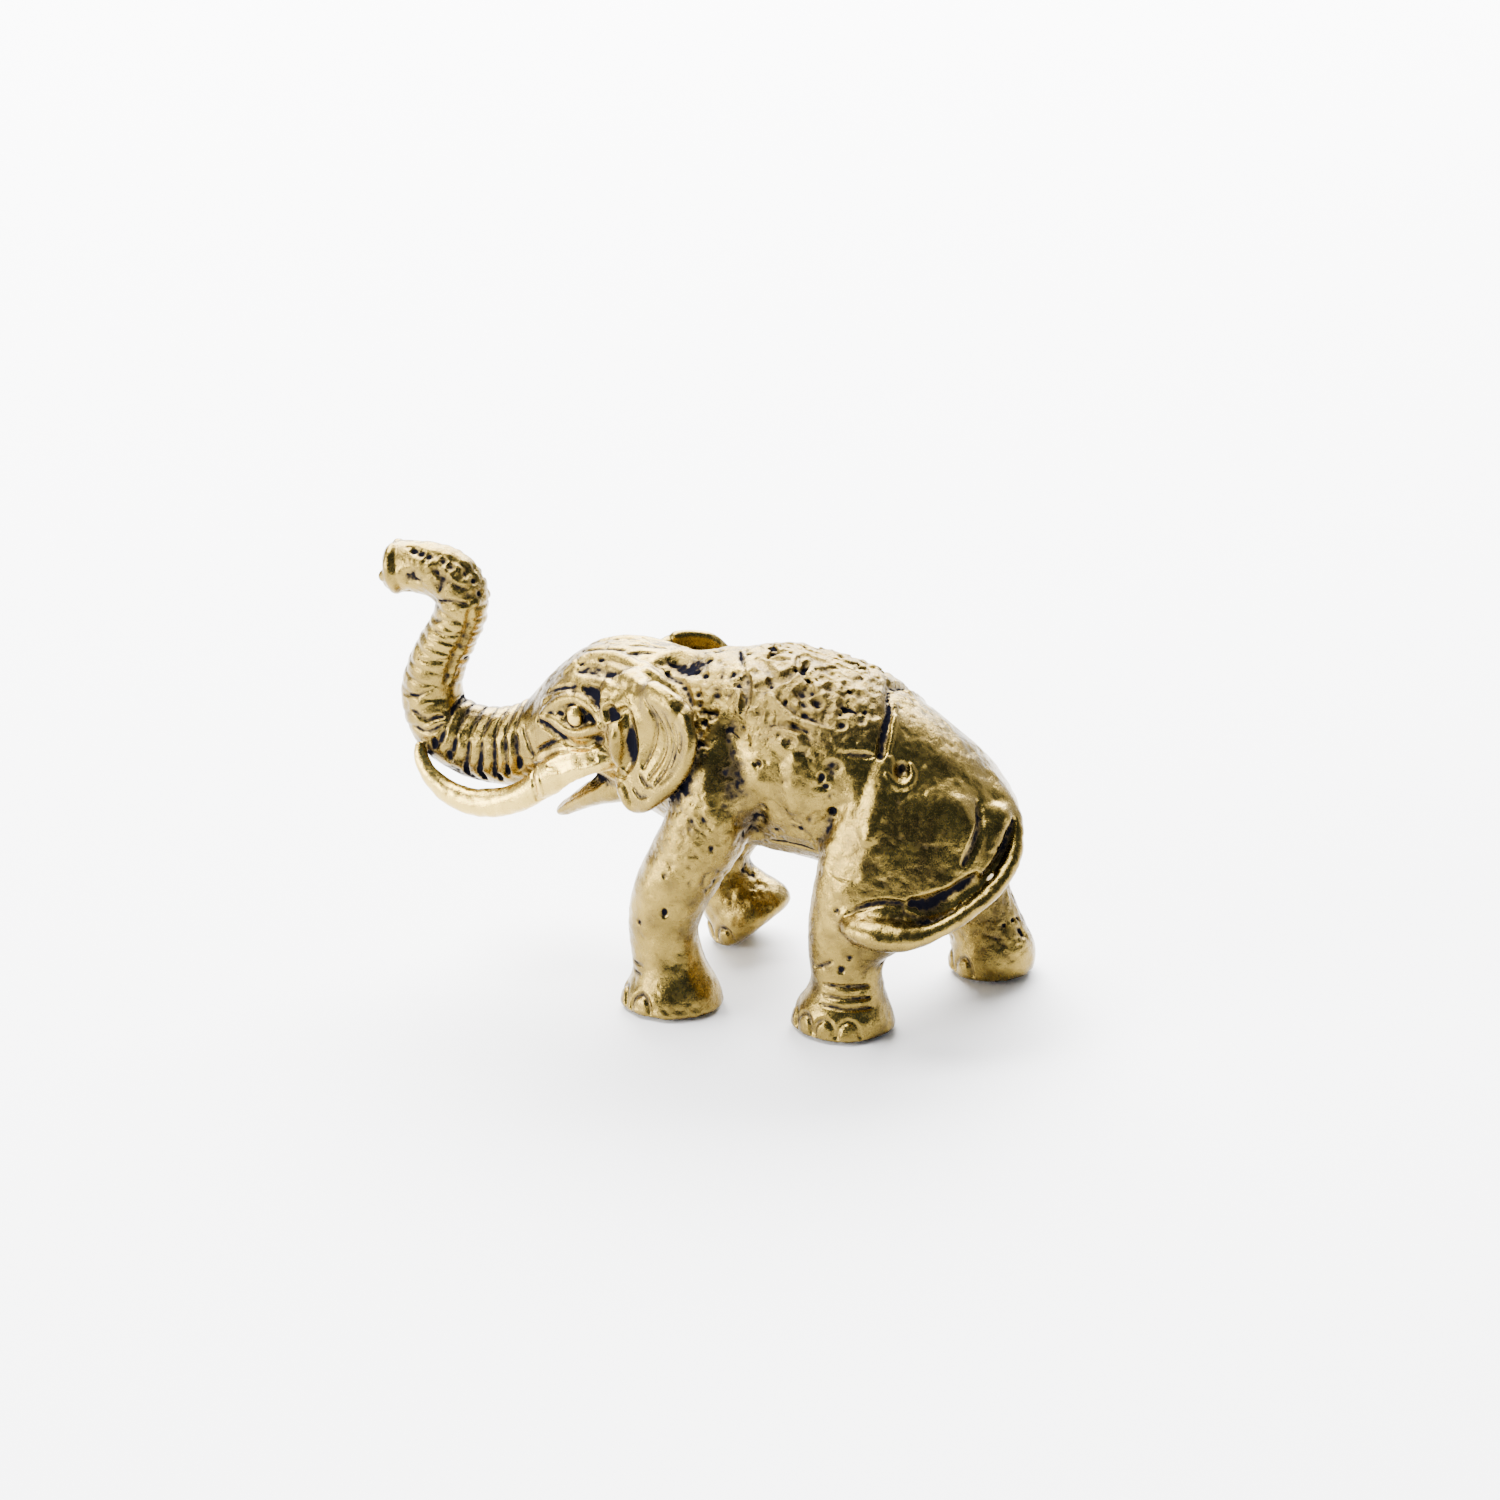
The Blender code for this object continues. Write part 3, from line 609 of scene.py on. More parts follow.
def flanks():
    """Crests and valleys between the legs, pits, and creases under the belly."""
    valley = [(0.4, -5.1, 17.6), (0.5, -5.4, 16.0), (0.7, -5.6, 14.4), (1.2, -5.5, 12.9), (1.7, -5.0, 11.3)]
    both(stroke, valley, 1.8, 0.5, 0.2)
    both(stroke, [(4.4, -5.4, 16.4), (4.5, -5.6, 14.9), (4.4, -5.5, 13.3)], 1.0, -0.22)
    both(dab, (6.05, -5.5, 15.4), (0.32, 0.6, 0.42), 0.5)
    both(dab, (6.3, -5.5, 14.9), (0.4, 0.6, 0.3), 0.4)
    both(stroke, [(6.6, -5.1, 16.0), (6.9, -5.4, 14.6), (6.5, -5.5, 13.2),
                  (6.0, -5.2, 11.6)], 1.2, 0.24, 0.4)
    for place in ((6.6, -5.5, 13.4), (4.7, -5.1, 11.9), (3.1, -4.7, 11.5), (2.2, -5.6, 15.9),
                  (2.4, -5.5, 12.9)):
        both(dab, place, 0.32, 0.36)
    both(stroke, [(2.6, -4.0, 10.5), (3.9, -4.2, 10.5), (5.4, -4.3, 10.4)], 0.26, 0.36)
    both(stroke, [(6.0, -4.7, 11.3), (5.9, -4.3, 10.6)], 0.3, 0.36)


# -------------- legs and tail


def thigh_planes():
    """The two planes that meet in the thigh's crest."""
    for side in (-1, 1):
        shave((12.0, side * 5.85, 11.8), (0.24, side * 0.9, 0.3), 9.5, 0.5)
        shave((8.1, side * 6.3, 12.1), (-0.25, side * 0.92, 0.3), 4.4, 0.3)


def haunch():
    """The upper end of the thigh's crest, and the curl above it."""
    both(stroke, [(9.8, -4.5, 16.6), (9.6, -4.9, 15.4), (9.4, -5.5, 14.0), (9.1, -6.3, 12.4)], 1.1, -0.3)
    both(stroke, [(9.7, -4.6, 15.8), (10.05, -4.7, 15.4), (10.6, -4.7, 15.15), (11.1, -4.4, 15.4),
                  (11.2, -4.0, 15.9), (11.0, -3.8, 16.3)], 0.36, -0.2)
    both(dab, (10.5, -4.1, 16.0), (0.6, 0.8, 0.65), 0.5)


def tail_hollow():
    """Where the tail lies against the rump."""
    stroke([(14.9, -2.6, 14.0), (15.0, -3.4, 13.0), (14.9, -4.3, 12.1), (14.5, -5.0, 11.0)], 0.5, 0.4, 0.4)
    stroke([(16.5, -1.6, 12.6), (16.3, -2.9, 11.2), (15.7, -4.2, 10.2), (14.8, -5.3, 9.4),
            (13.7, -6.1, 8.8)], 0.4, 0.5, 0.3)
    stroke([(15.2, -4.9, 10.1), (14.4, -5.5, 9.6), (13.6, -6.0, 9.1), (12.8, -6.4, 8.8), (12.0, -6.7, 8.8)],
           0.75, 0.55, 0.3)
    stroke([(12.3, -6.8, 8.6), (11.2, -7.1, 8.9), (10.1, -7.3, 8.9), (9.0, -7.4, 8.5), (8.3, -7.4, 8.0)],
           0.3, 0.34, 0.5)


def standing_feet():
    """Chased rings on the ankles, a crease and pits."""
    for z in (3.3, 2.6, 1.95):
        both(stroke, [(6.9, -7.0, z), (8.2, -7.3, z + 0.05), (9.5, -6.6, z)], 0.2, 0.34)
    both(stroke, [(6.2, -6.8, 4.2), (6.8, -7.1, 4.5), (7.4, -7.3, 4.9)], 0.18, 0.24)
    both(dab, (7.9, -7.3, 4.4), 0.34, 0.4)
    both(dab, (8.4, -7.2, 5.2), 0.26, 0.24)
    for z, wide in ((2.95, 0.7), (2.4, 0.6)):
        both(stroke, [(-5.3, -6.4, z), (-5.0, -6.8, z), (-5.1 + wide, -7.1, z)], 0.17, 0.22)
    both(dab, (-2.9, -7.3, 6.6), (0.26, 0.5, 0.4), 0.34)
    for x, y, z, size in ((-2.9, -7.2, 8.9, 0.22), (-4.4, -6.8, 5.7, 0.24), (7.6, -7.3, 8.1, 0.22)):
        both(dab, (x, y, z), size, 0.9 * size)


NAIL_COUNT = 4
NAIL_HALF_WIDTH = 0.72
NAIL_BASE, NAIL_HEIGHT = 0.5, 1.05  # its arch's feet above the ground, and its rise


def toenails(x, y, facing, spread=40, reach=2.85):
    """Rounded nails round the front of a foot, spread degrees apart, each with a groove over its top."""
    for i in range(NAIL_COUNT):
        turn = math.radians(facing + (i - (NAIL_COUNT - 1) / 2) * spread)
        across = np.array([-math.sin(turn), math.cos(turn)])
        middle = np.array([x, y]) + reach * np.array([math.cos(turn), math.sin(turn)])
        arch = [
            (*(middle + across * NAIL_HALF_WIDTH * math.cos(a)), NAIL_BASE + NAIL_HEIGHT * math.sin(a))
            for a in np.linspace(0, math.pi, 7)
        ]
        dab((*middle, 0.8), 0.9, -0.1)
        stroke(arch, 0.24, 0.26, 0.2)


SOLE_EDGE = 0.5  # the fillet between a sole and its foot


def soles():
    """Cuts the feet off at the ground with a rounded edge, and keeps the clay in the CAD's box."""
    slices, (x, y, z) = GRID.window(BOX_LOW - MARGIN, BOX_HIGH + MARGIN)
    CLAY[slices] -= SOLE_EDGE / 4 * falloff(np.abs(z), 0.8)  # what the rounding below takes off flat soles
    CLAY[slices] = -merged(-CLAY[slices], z + 0 * x, SOLE_EDGE)
    for axis, low, high in zip((x, y, z), BOX_LOW, BOX_HIGH):
        CLAY[slices] = np.maximum(CLAY[slices], np.maximum(low - axis, axis - high))


# -------------- the cast surface

# Where the casting is coarse and pitted: middle, radii and how much, in the master's millimetres.
COARSE_PLACES = (
    ((-2.0, 0, 17.5), (4.0, 7.0, 5.0), 0.9),
    ((4.0, 0, 18.5), (6.5, 7.0, 4.5), 1.0),
    ((-1.0, 0, 10.0), (4.5, 9.0, 9.0), 0.8),
    ((5.0, 0, 13.0), (5.5, 8.0, 5.0), 0.6),
    ((8.0, 0, 4.0), (4.0, 9.0, 5.0), 0.5),
    ((-9.0, 0, 18.0), (4.5, 5.0, 4.0), 0.5),
    ((-18.5, 0, 23.5), (4.0, 3.0, 3.0), 0.5),
    ((13.0, 6.0, 5.0), (5.0, 4.0, 6.0), 0.8),
)


LEAST_COARSE = 0.12


def nearness(points, middle, radii, core, edge):
    """1 round a place and 0 away from it, at points in millimetres; core and edge are shares of radii."""
    away = np.linalg.norm((points - HOME - middle) / np.array(radii), axis=1)
    return falloff(np.maximum(away - core, 0), edge)


def coarseness(points):
    """How coarse the casting is at points in millimetres, 0 to 1."""
    total = np.full(len(points), LEAST_COARSE)
    for middle, radii, amount in COARSE_PLACES:
        total = np.maximum(total, amount * nearness(points, middle, radii, 0.5, 0.6))
    return total


# Where shade is painted on, dark like the patina, in hollows and gaps where shade falls, such as under the
# trunk, in the mouth and behind the ears: middle, radii and how much, in the same millimetres, on both
# sides.
PAINTED_SHADE_PLACES = (
    ((-3.4, -1.6, 19.8), (1.9, 1.5, 1.2), 0.7),
    ((-1.6, -5.6, 17.2), (0.9, 1.2, 1.6), 0.35),
    ((-2.2, -5.4, 14.6), (1.3, 1.6, 2.6), 0.6),
    ((0.7, -5.5, 14.6), (0.9, 1.4, 3.4), 0.45),
    ((-17.0, -1.2, 11.4), (3.4, 2.4, 1.3), 0.7),
    ((-19.6, -1.2, 12.9), (1.2, 1.6, 1.0), 0.6),
    ((-5.5, -5.3, 16.0), (0.75, 1.8, 2.3), 2.0),
    ((-6.8, -4.7, 17.5), (0.6, 1.0, 0.6), 1.2),
    ((-7.1, -4.5, 14.9), (0.5, 1.0, 1.4), 0.8),
    ((-9.2, -2.8, 12.3), (2.2, 2.4, 0.95), 1.5),
    ((14.2, -5.4, 9.8), (2.2, 1.4, 1.0), 0.9),
    ((16.2, -2.6, 11.8), (0.8, 1.6, 1.8), 0.6),
    ((11.5, -5.8, 12.0), (5.5, 3.0, 6.5), 0.16),
    ((4.0, 0.0, 10.3), (6.0, 5.0, 1.3), 0.5),
    ((13.5, 5.5, 5.0), (3.5, 3.5, 6.0), 0.5),
    ((-1.5, 5.5, 6.0), (3.5, 3.0, 3.5), 0.2),
    ((0.8, -3.8, 19.3), (0.6, 1.4, 1.3), 0.8),
    ((9.2, -2.4, 18.2), (0.5, 3.4, 2.8), 0.9),
    ((-17.4, -1.2, 22.8), (1.3, 1.4, 1.1), 0.25),
)


def painted_shade_at(points):
    """How much shade is painted on at points in millimetres, beyond the patina their hollowness gives."""
    total = np.zeros(len(points))
    for (x, y, z), radii, amount in PAINTED_SHADE_PLACES:
        for side in (y, -y):
            total = np.maximum(total, amount * nearness(points, (x, side, z), radii, 0.3, 0.7))
    return total


CAST_DEPTH = 0.6  # the clay is only changed this near its surface


def cast_surface():
    """Slight unevenness all over, and pits where the casting is coarse."""
    near = np.nonzero(np.abs(CLAY) < CAST_DEPTH)
    points = (np.stack(near, axis=1) + GRID.first) * VOXEL
    coarse = coarseness(points)
    fine = noise(0.4, 3)[near]
    tiny = noise(0.25, 5)[near]
    pits = np.maximum(noise(0.6, 4)[near] + 0.6 * fine + 0.5 * tiny - 0.42, 0)
    change = 0.05 * noise(1.8, 1)[near] + 0.04 * noise(0.8, 2)[near] + 0.016 * fine
    change += coarse * (0.05 * fine + 0.036 * tiny + 0.26 * np.minimum(pits, 1.1))
    CLAY[near] += change.astype(np.float32)


def sculpt():
    """All the work on the clay, in order."""
    rough_out()
    SMOOTH[:] = blurred(CLAY, 0.4)
    trunk_wrinkles()
    trunk_sides()
    trunk_root()
    trunk_tip()
    brow_and_cheek()
    eye()
    left_ear()
    right_ear()
    neck()
    flanks()
    saddle()
    haunch()
    tail_hollow()
    standing_feet()
    join("left_eye", 0.16, 0.1)
    join("right_eye", 0.16, 0.1)
    toenails(-3.1, -5.3, 187)
    toenails(7.5, -5.3, 247, 30)
    toenails(13.6, 5.3, 180, 40, 2.5)
    toenails(-1.8, 5.3, 190, 40, 2.6)
    cast_surface()
    soles()


sculpt()


# -------------- cutting the clay into pieces


def nearest_nodes():
    """Each voxel's distances to the nearest and the second nearest CAD node, and which node is nearest."""
    first = np.full(GRID.shape, REACH, np.float32)
    second = np.full(GRID.shape, REACH, np.float32)
    owner = np.full(GRID.shape, -1, np.int8)
    for i, node in enumerate(NODES):
        slices, field = FIELDS[node]
        a, b, who = first[slices], second[slices], owner[slices]
        wins = field < a
        second[slices] = np.where(wins, a, np.minimum(b, field))
        first[slices] = np.where(wins, field, a)
        owner[slices] = np.where(wins, i, who)
    return first, second, owner


NEAREST, SECOND, OWNER = nearest_nodes()

# The blurred clay is below 0 where the surface is hollow. Each blur finds hollows of about its own size.
HOLLOW_BLUR, CREVICE_BLUR, VALLEY_BLUR = 0.14, 0.34, 0.6
VALLEY_WIDTH = 0.7  # what its two blurs come to together
HOLLOW = blurred(CLAY, HOLLOW_BLUR)
CREVICE = blurred(CLAY, CREVICE_BLUR)
VALLEY = blurred(CREVICE, VALLEY_BLUR)

SKIN = 0.6  # a cut runs square to the surface this deep
HIDDEN_DEPTH = 0.2  # below this depth a cut face is hidden for good
THINNING = 0.95  # share of the hidden triangles that can go
RIM_REACH = 0.8 * VOXEL  # a point this near both the clay's surface and a cut belongs on their rim
LONGEST_MOVE = 0.7 * VOXEL  # of a point in one pass of snap


def cut_between(node):
    """A field that is 0 where a node's piece is cut from the others and below 0 on its own side."""
    slices, field = FIELDS[node]
    others = np.where(OWNER[slices] == NODES.index(node), SECOND[slices], NEAREST[slices])
    raw = (field - others) / 2
    local = Grid([s.start + f for s, f in zip(slices, GRID.first)], raw.shape)
    height = SMOOTH[slices]
    near = np.nonzero((np.abs(height) < 2 * SKIN) & (np.abs(raw) < REACH / 2))
    slope = np.stack([part[near] for part in np.gradient(height, VOXEL)], axis=1)
    slope /= np.maximum(np.linalg.norm(slope, axis=1, keepdims=True), 0.5)
    height = height[near]
    height = np.clip(height, -SKIN, SKIN) * falloff(np.maximum(np.abs(height) - SKIN, 0), SKIN)
    points = (np.stack(near, axis=1) + local.first) * VOXEL
    square = raw.copy()
    square[near] = local.sample(raw, points - slope * height[:, None])
    return square, local


def carve_piece(node):
    """The clay on one node's side of its cuts: vertices, triangles and the clay's value at each vertex."""
    cut, local = cut_between(node)
    clay = CLAY[FIELDS[node][0]]
    solid = np.maximum(clay, cut)
    wall = np.ones(solid.shape, bool)
    wall[1:-1, 1:-1, 1:-1] = False
    solid[wall] = np.maximum(solid[wall], VOXEL)
    grid = openvdb.FloatGrid(REACH)
    grid.copyFromArray(solid, ijk=[int(i) for i in local.first])
    grid.transform = openvdb.createLinearTransform(voxelSize=VOXEL)
    points, quads = grid.convertToQuads(0.0)
    return snap(points.astype(float), quads, clay, cut, local)


def snap(points, quads, clay, cut, local):
    """Moves points onto the clay's surface, or onto the rim where a cut meets it, and makes triangles."""
    for _ in range(4):
        f = local.sample(clay, points)
        g = local.sample(cut, points)
        slope_f = local.slope(clay, points)
        slope_g = local.slope(cut, points)
        ff = np.sum(slope_f * slope_f, axis=1) + 1e-6
        gg = np.sum(slope_g * slope_g, axis=1) + 1e-6
        fg = np.sum(slope_f * slope_g, axis=1)
        det = ff * gg - fg * fg
        rim = (np.abs(f) < RIM_REACH) & (np.abs(g) < RIM_REACH) & (det > 0.1 * ff * gg)
        det = np.where(rim, det, 1)
        u = np.where(rim, (gg * f - fg * g) / det, 0)
        v = np.where(rim, (ff * g - fg * f) / det, 0)
        move = -(slope_f * u[:, None] + slope_g * v[:, None])
        outer = (~rim) & (f > g)
        move += np.where(outer[:, None], -slope_f * (f / ff)[:, None], 0)
        size = np.linalg.norm(move, axis=1, keepdims=True)
        points = points + move * np.minimum(1, LONGEST_MOVE / np.maximum(size, 1e-9))
    a, b, c, d = quads.T
    across = rim[b] & rim[d] & ~(rim[a] & rim[c])
    first = np.where(across[:, None], np.stack([a, b, d], 1), np.stack([a, b, c], 1))
    second = np.where(across[:, None], np.stack([b, c, d], 1), np.stack([a, c, d], 1))
    triangles = np.concatenate([first, second])
    return points, triangles, local.sample(clay, points)


def new_mesh(name, points, triangles):
    """A mesh of triangles with points in millimetres."""
    mesh = bpy.data.meshes.new(name)
    mesh.vertices.add(len(points))
    mesh.vertices.foreach_set("co", (points * MM).astype(np.float32).ravel())
    mesh.loops.add(len(triangles) * 3)
    mesh.loops.foreach_set("vertex_index", triangles.astype(np.int32).ravel())
    mesh.polygons.add(len(triangles))
    mesh.polygons.foreach_set("loop_start", np.arange(0, len(triangles) * 3, 3, dtype=np.int32))
    mesh.update(calc_edges=True)
    return mesh


def thinned(points, triangles, depth):
    """The piece with fewer triangles on its cut faces, which lie hidden inside the brass."""
    hidden = depth < -HIDDEN_DEPTH
    share = hidden[triangles].all(axis=1).mean()
    mesh = new_mesh("thick", points, triangles)
    made = bpy.data.objects.new("thick", mesh)
    bpy.context.scene.collection.objects.link(made)
    made.vertex_groups.new(name="hidden").add(np.nonzero(hidden)[0].tolist(), 1.0, "REPLACE")
    modifier = made.modifiers.new("thin", "DECIMATE")
    modifier.vertex_group = "hidden"
    modifier.ratio = 1 - THINNING * share
    thin = made.evaluated_get(bpy.context.evaluated_depsgraph_get()).data
    points = np.empty(len(thin.vertices) * 3, np.float32)
    thin.vertices.foreach_get("co", points)
    triangles = np.empty(len(thin.polygons) * 3, np.int32)
    thin.loops.foreach_get("vertex_index", triangles)
    bpy.data.objects.remove(made)
    bpy.data.meshes.remove(mesh)
    return points.reshape(-1, 3).astype(float) / MM, triangles.reshape(-1, 3)


def store(mesh, name, values):
    """Keeps a value at each vertex for the materials."""
    attribute = mesh.attributes.new(name, "FLOAT", "POINT")
    attribute.data.foreach_set("value", values.astype(np.float32))


def build_piece(node, material):
    """One piece's mesh, with what its material needs to know at each vertex."""
    points, triangles = thinned(*carve_piece(node))
    on_cut = GRID.sample(CLAY, points[triangles].mean(axis=1)) < -0.4 * VOXEL
    mesh = new_mesh(node + "_cast", points, triangles)
    mesh.polygons.foreach_set("use_smooth", np.ones(len(triangles), bool))
    store(mesh, "hollow", -GRID.sample(HOLLOW, points) / HOLLOW_BLUR)
    store(mesh, "crevice", -GRID.sample(CREVICE, points) / CREVICE_BLUR)
    store(mesh, "valley", -GRID.sample(VALLEY, points) / VALLEY_WIDTH)
    store(mesh, "coarse", coarseness(points))
    # painted shade: the places where the brass is painted dark as shade
    store(mesh, "painted_shade", painted_shade_at(points))
    shade(mesh, points, triangles, on_cut)
    piece = bpy.data.objects.new(node + "_cast", mesh)
    bpy.context.scene.collection.objects.link(piece)
    mesh.materials.append(material)
    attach(piece, "root")
    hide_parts(node)


def shade(mesh, points, triangles, on_cut):
    """Gives the outside the clay's own normals, so that it shades as one surface from piece to piece."""
    normals = np.empty(len(points) * 3, np.float32)
    mesh.vertex_normals.foreach_get("vector", normals)
    normals = normals.reshape(-1, 3)
    outside = np.zeros(len(points), bool)
    outside[triangles[~on_cut]] = True
    slope = GRID.slope(CLAY, points[outside])
    normals[outside] = slope / np.maximum(np.linalg.norm(slope, axis=1, keepdims=True), 1e-6)
    mesh.normals_split_custom_set_from_vertices(normals)


# -------------- materials


MIX_FACTOR, MIX_A, MIX_B, MIX_RESULT = 0, 6, 7, 2  # a colour mix node's sockets


class Nodes:
    """Short names for building a node tree."""

    def __init__(self, tree):
        self.tree = tree

    def add(self, kind, **settings):
        node = self.tree.nodes.new(kind)
        for key, value in settings.items():
            setattr(node, key, value)
        return node

    def put(self, value, socket):
        if isinstance(value, (int, float, tuple)):
            socket.default_value = value
        else:
            self.tree.links.new(value, socket)

    def maths(self, operation, a, b=0.0, c=0.0):
        node = self.add("ShaderNodeMath", operation=operation)
        for value, socket in zip((a, b, c), node.inputs):
            self.put(value, socket)
        return node.outputs[0]

    def ramp(self, value, low, high, to_low=0.0, to_high=1.0):
        """value from low..high mapped smoothly to to_low..to_high."""
        node = self.add("ShaderNodeMapRange", interpolation_type="SMOOTHSTEP")
        for item, socket in zip((value, low, high, to_low, to_high), node.inputs):
            self.put(item, socket)
        return node.outputs[0]

    def mix(self, factor, a, b):
        node = self.add("ShaderNodeMix", data_type="RGBA")
        self.put(factor, node.inputs[MIX_FACTOR])
        self.put(a, node.inputs[MIX_A])
        self.put(b, node.inputs[MIX_B])
        return node.outputs[MIX_RESULT]


class Shader(Nodes):
    """A new material and its nodes."""

    def __init__(self, name):
        self.material = bpy.data.materials.new(name)
        self.material.use_nodes = True
        super().__init__(self.material.node_tree)
        self.surface = self.tree.nodes["Principled BSDF"]
        self.place = self.add("ShaderNodeTexCoord").outputs["Object"]

    def attribute(self, name):
        return self.add("ShaderNodeAttribute", attribute_name=name).outputs["Fac"]

    def noise(self, size_mm, detail=3.0, roughness=0.55):
        node = self.add("ShaderNodeTexNoise")
        self.put(self.place, node.inputs["Vector"])
        self.put(1 / (size_mm * MM), node.inputs["Scale"])
        self.put(detail, node.inputs["Detail"])
        self.put(roughness, node.inputs["Roughness"])
        return node.outputs["Fac"]


# The patina's blue-black and the tarnish's brown; both also serve as painted shade
PATINA_AND_PAINTED_SHADE = (0.005, 0.005, 0.008, 1)
TARNISH_AND_PAINTED_SHADE = (0.07, 0.048, 0.018, 1)
BUMP_HEIGHT = 0.11 * MM


def brass(name, bright, deep, patina):
    """Antiqued cast brass: rubbed bright on the high points, with a blue-black patina in the hollows and
    painted shade.
    """
    shader = Shader(name)
    names = ("hollow", "crevice", "valley", "coarse", "painted_shade")
    hollow, crevice, valley, coarse, painted_shade = [shader.attribute(name) for name in names]
    blotch = shader.noise(1.6, 4.0)
    grain = shader.noise(0.34, 5.0, 0.65)
    speck = shader.noise(0.15, 3.0, 0.7)
    blotchy = shader.maths("SUBTRACT", blotch, 0.5)
    grainy = shader.maths("SUBTRACT", grain, 0.5)

    depth = shader.maths("MULTIPLY_ADD", crevice, 0.9, shader.maths("MULTIPLY", hollow, 0.8))
    depth = shader.maths("MULTIPLY_ADD", valley, 0.4, depth)
    # the painted shade adds to the depth, so its places come out blue-black like the patina, as painted
    # shade
    depth = shader.maths("MULTIPLY_ADD", painted_shade, 0.5, depth)
    ragged = shader.maths("MULTIPLY_ADD", grainy, 0.9, depth)
    ragged = shader.maths("MULTIPLY_ADD", blotchy, 0.3, ragged)
    dark = shader.ramp(ragged, 0.24 - patina, 0.62 - patina)
    spots = shader.maths("MULTIPLY", shader.ramp(speck, 0.6, 0.7), coarse)
    dark = shader.maths("MAXIMUM", dark, shader.maths("MULTIPLY", spots, 0.8))
    # the brown tarnish follows the same depth, hollows and painted shade alike, so it paints shade too
    tarnish_and_painted_shade = shader.ramp(shader.maths("MULTIPLY_ADD", blotchy, 1.2, depth), -0.15, 0.45)

    metal_colour = shader.mix(shader.ramp(blotch, 0.3, 0.7), bright, deep)
    tarnish_and_shade_colour = shader.mix(shader.maths("MULTIPLY", tarnish_and_painted_shade, 0.75), metal_colour, TARNISH_AND_PAINTED_SHADE)
    shader.put(shader.mix(dark, tarnish_and_shade_colour, PATINA_AND_PAINTED_SHADE), shader.surface.inputs["Base Color"])
    shader.put(shader.ramp(dark, 0.0, 1.0, 1.0, 0.0), shader.surface.inputs["Metallic"])
    shader.put(shader.ramp(dark, 0.0, 0.8, 0.5, 0.0), shader.surface.inputs["Specular IOR Level"])
    rough = shader.maths("MULTIPLY_ADD", coarse, 0.06, shader.ramp(grain, 0.3, 0.7, 0.18, 0.32))
    shader.put(shader.maths("MULTIPLY_ADD", dark, 0.25, rough), shader.surface.inputs["Roughness"])

    bump = shader.add("ShaderNodeBump")
    shader.put(shader.ramp(coarse, 0.0, 1.0, 0.3, 0.9), bump.inputs["Strength"])
    shader.put(BUMP_HEIGHT, bump.inputs["Distance"])
    shader.put(shader.maths("MULTIPLY_ADD", speck, 0.5, grain), bump.inputs["Height"])
    shader.put(bump.outputs[0], shader.surface.inputs["Normal"])
    return shader.material


MATERIALS = {
    "antiqued_brass": brass("antiqued_brass", (0.25, 0.173, 0.039, 1), (0.16, 0.11, 0.026, 1), 0.06),
    "bright_brass": brass("bright_brass", (0.62, 0.435, 0.1, 1), (0.48, 0.335, 0.078, 1), 0.0),
    "dark_brass": brass("dark_brass", (0.21, 0.146, 0.037, 1), (0.14, 0.097, 0.026, 1), 0.1),
}

for node_name in NODES:
    build_piece(node_name, MATERIALS[SLOTS[node_name]])


# -------------- floor, light and camera


FLOOR_SIZE = 4.0
FLOOR_FRONT = -0.08  # the floor ends here, so that the brass doesn't mirror too much of it
FLOOR_DROP = 0.00002  # below the soles


def floor():
    """The plain pale floor."""
    middle = FLOOR_FRONT + FLOOR_SIZE / 2
    bpy.ops.mesh.primitive_plane_add(size=FLOOR_SIZE, location=(0, middle, -FLOOR_DROP))
    made = bpy.context.object
    made.name = "floor"
    shader = Shader("pale_floor")
    shader.put((0.82, 0.82, 0.83, 1), shader.surface.inputs["Base Color"])
    shader.put(0.6, shader.surface.inputs["Roughness"])
    made.data.materials.append(shader.material)


def softbox(name, location, target, size, power):
    """A white rectangular light, aimed at a target; its power is in watts."""
    light = bpy.data.lights.new(name, "AREA")
    light.shape = "RECTANGLE"
    light.size, light.size_y = size
    light.energy = power
    lamp = bpy.data.objects.new(name, light)
    bpy.context.scene.collection.objects.link(lamp)
    lamp.location = location
    aim = Vector(target) - Vector(location)
    lamp.rotation_mode = "QUATERNION"
    lamp.rotation_quaternion = aim.to_track_quat("-Z", "Y")


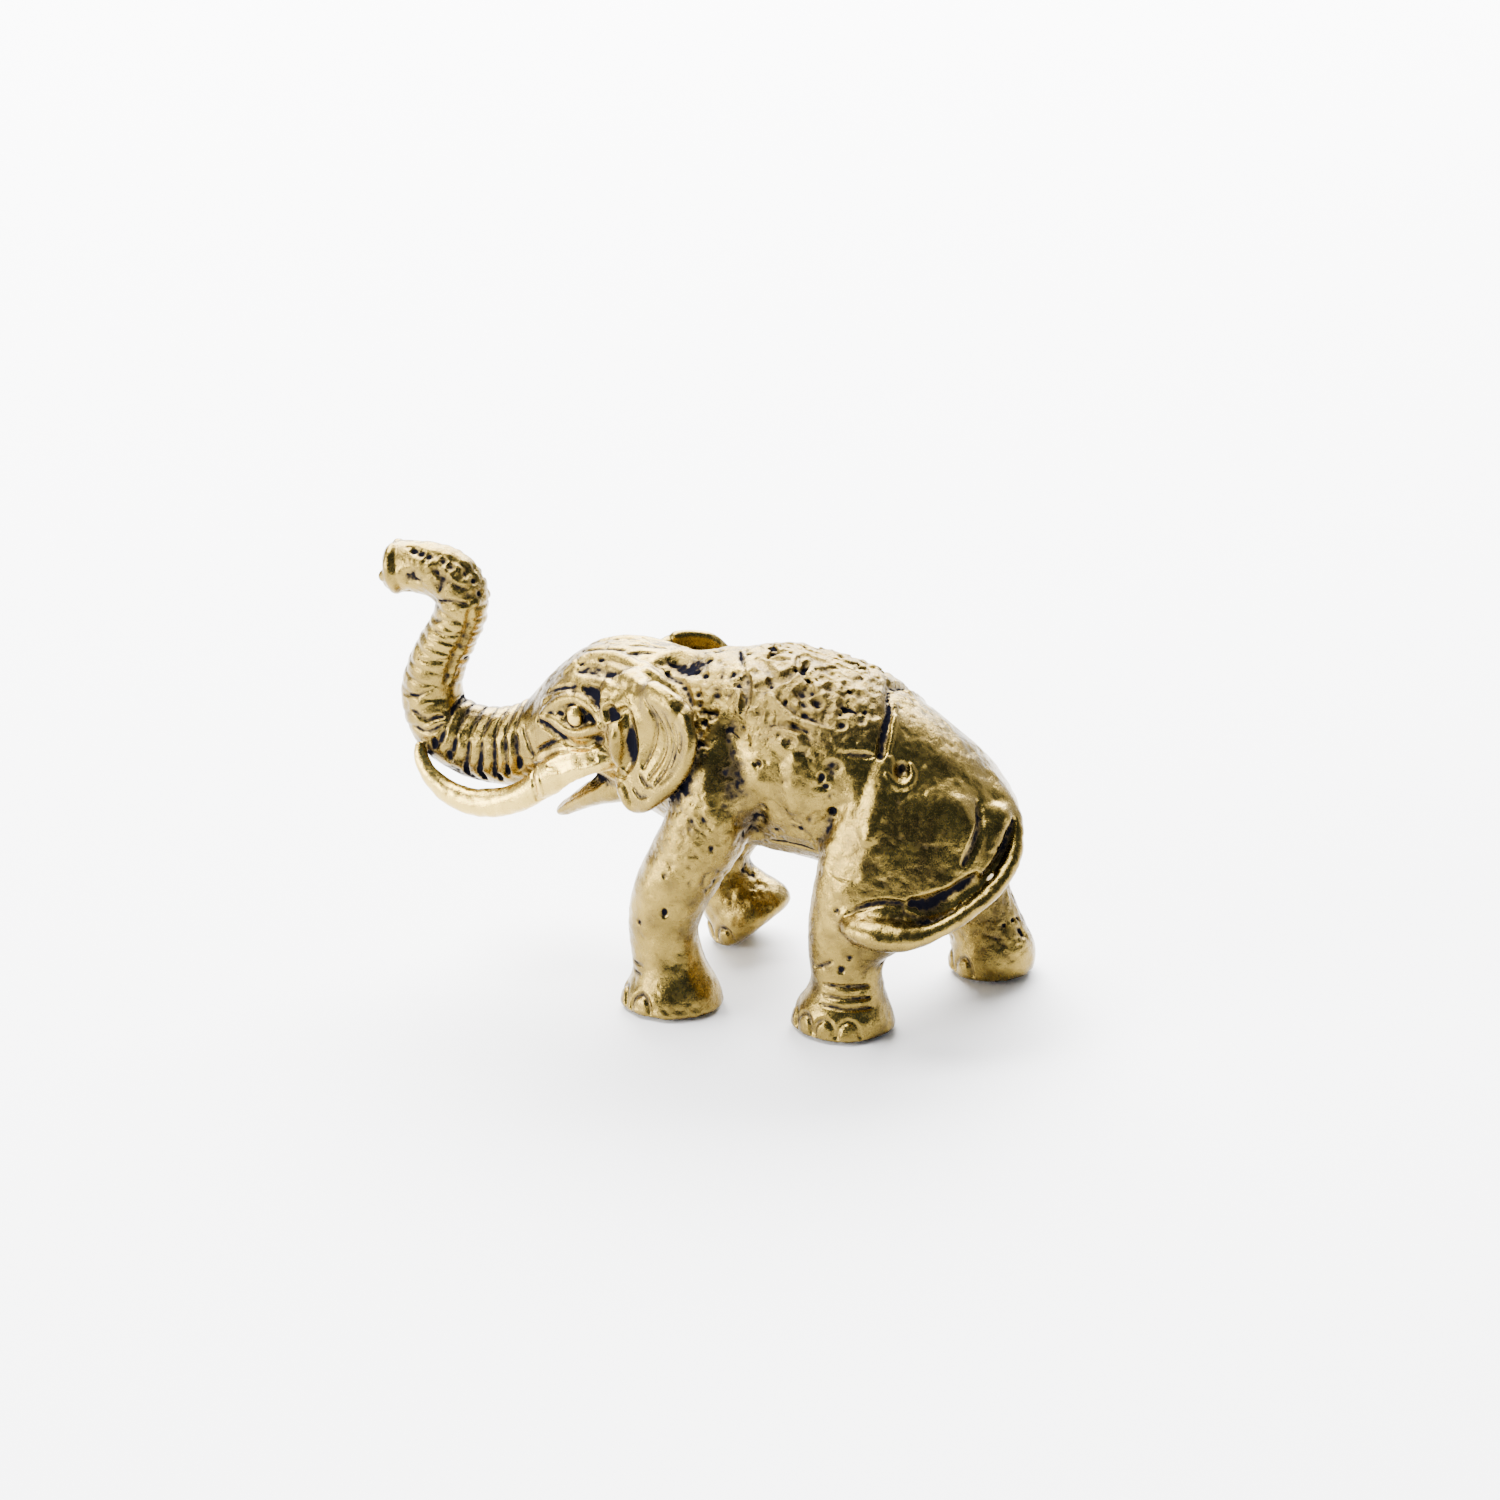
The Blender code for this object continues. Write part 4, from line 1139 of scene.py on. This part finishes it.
CAMERA_AZIMUTH = math.radians(18)
CAMERA_ELEVATION = math.radians(21)
CAMERA_DISTANCE = 0.300
CAMERA_LENS = 122.4
SENSOR_WIDTH = 36.0
CAMERA_TARGET = Vector((HOME[0] * MM, HOME[1] * MM, 0.01445))
STUDIO_LIGHT = (1.5, 1.5, 1.5, 1)  # the studio's white walls
DIM_LIGHT = (0.12, 0.16, 0.24, 1)  # and its dark side
BACKDROP = (5, 5, 5, 1)  # what the camera sees past the floor
DARK_SIDE = Vector((0.56, -0.68, 0.46)).normalized()
DARK_FROM, DARK_TO = 0.26, 0.62  # cosines of the angle to it between which walls darken


def room():
    """A white studio, dark in one broad direction, where the people and the equipment are."""
    world = bpy.data.worlds.new("studio")
    bpy.context.scene.world = world
    world.use_nodes = True
    nodes = Nodes(world.node_tree)
    towards = nodes.add("ShaderNodeVectorMath", operation="DOT_PRODUCT")
    nodes.put(nodes.add("ShaderNodeTexCoord").outputs["Generated"], towards.inputs[0])
    nodes.put(tuple(DARK_SIDE), towards.inputs[1])
    walls = nodes.mix(nodes.ramp(towards.outputs["Value"], DARK_FROM, DARK_TO), STUDIO_LIGHT, DIM_LIGHT)
    seen = nodes.add("ShaderNodeLightPath").outputs["Is Camera Ray"]
    nodes.put(nodes.mix(seen, walls, BACKDROP), nodes.tree.nodes["Background"].inputs["Color"])


def camera():
    """The camera, turned to its target."""
    data = bpy.data.cameras.new("camera")
    made = bpy.data.objects.new("camera", data)
    bpy.context.scene.collection.objects.link(made)
    level = math.cos(CAMERA_ELEVATION)
    across = math.sin(CAMERA_AZIMUTH) * level
    back = Vector((across, -math.cos(CAMERA_AZIMUTH) * level, math.sin(CAMERA_ELEVATION)))
    made.location = CAMERA_TARGET + back * CAMERA_DISTANCE
    made.rotation_mode = "QUATERNION"
    made.rotation_quaternion = (-back).to_track_quat("-Z", "Y")
    data.lens = CAMERA_LENS
    data.sensor_width = SENSOR_WIDTH
    data.clip_start = 0.01
    bpy.context.scene.camera = made


floor()
room()
softbox("back", (-0.10, 0.45, 0.35), (0, 0.25, 0.0), (0.6, 0.4), 28.0)
softbox("top", (-0.20, 0.05, 0.50), (0, 0.02, 0.0), (0.35, 0.25), 10.0)
softbox("key", (-0.27, -0.24, 0.10), (0, 0, 0.012), (0.20, 0.15), 3.0)
camera()
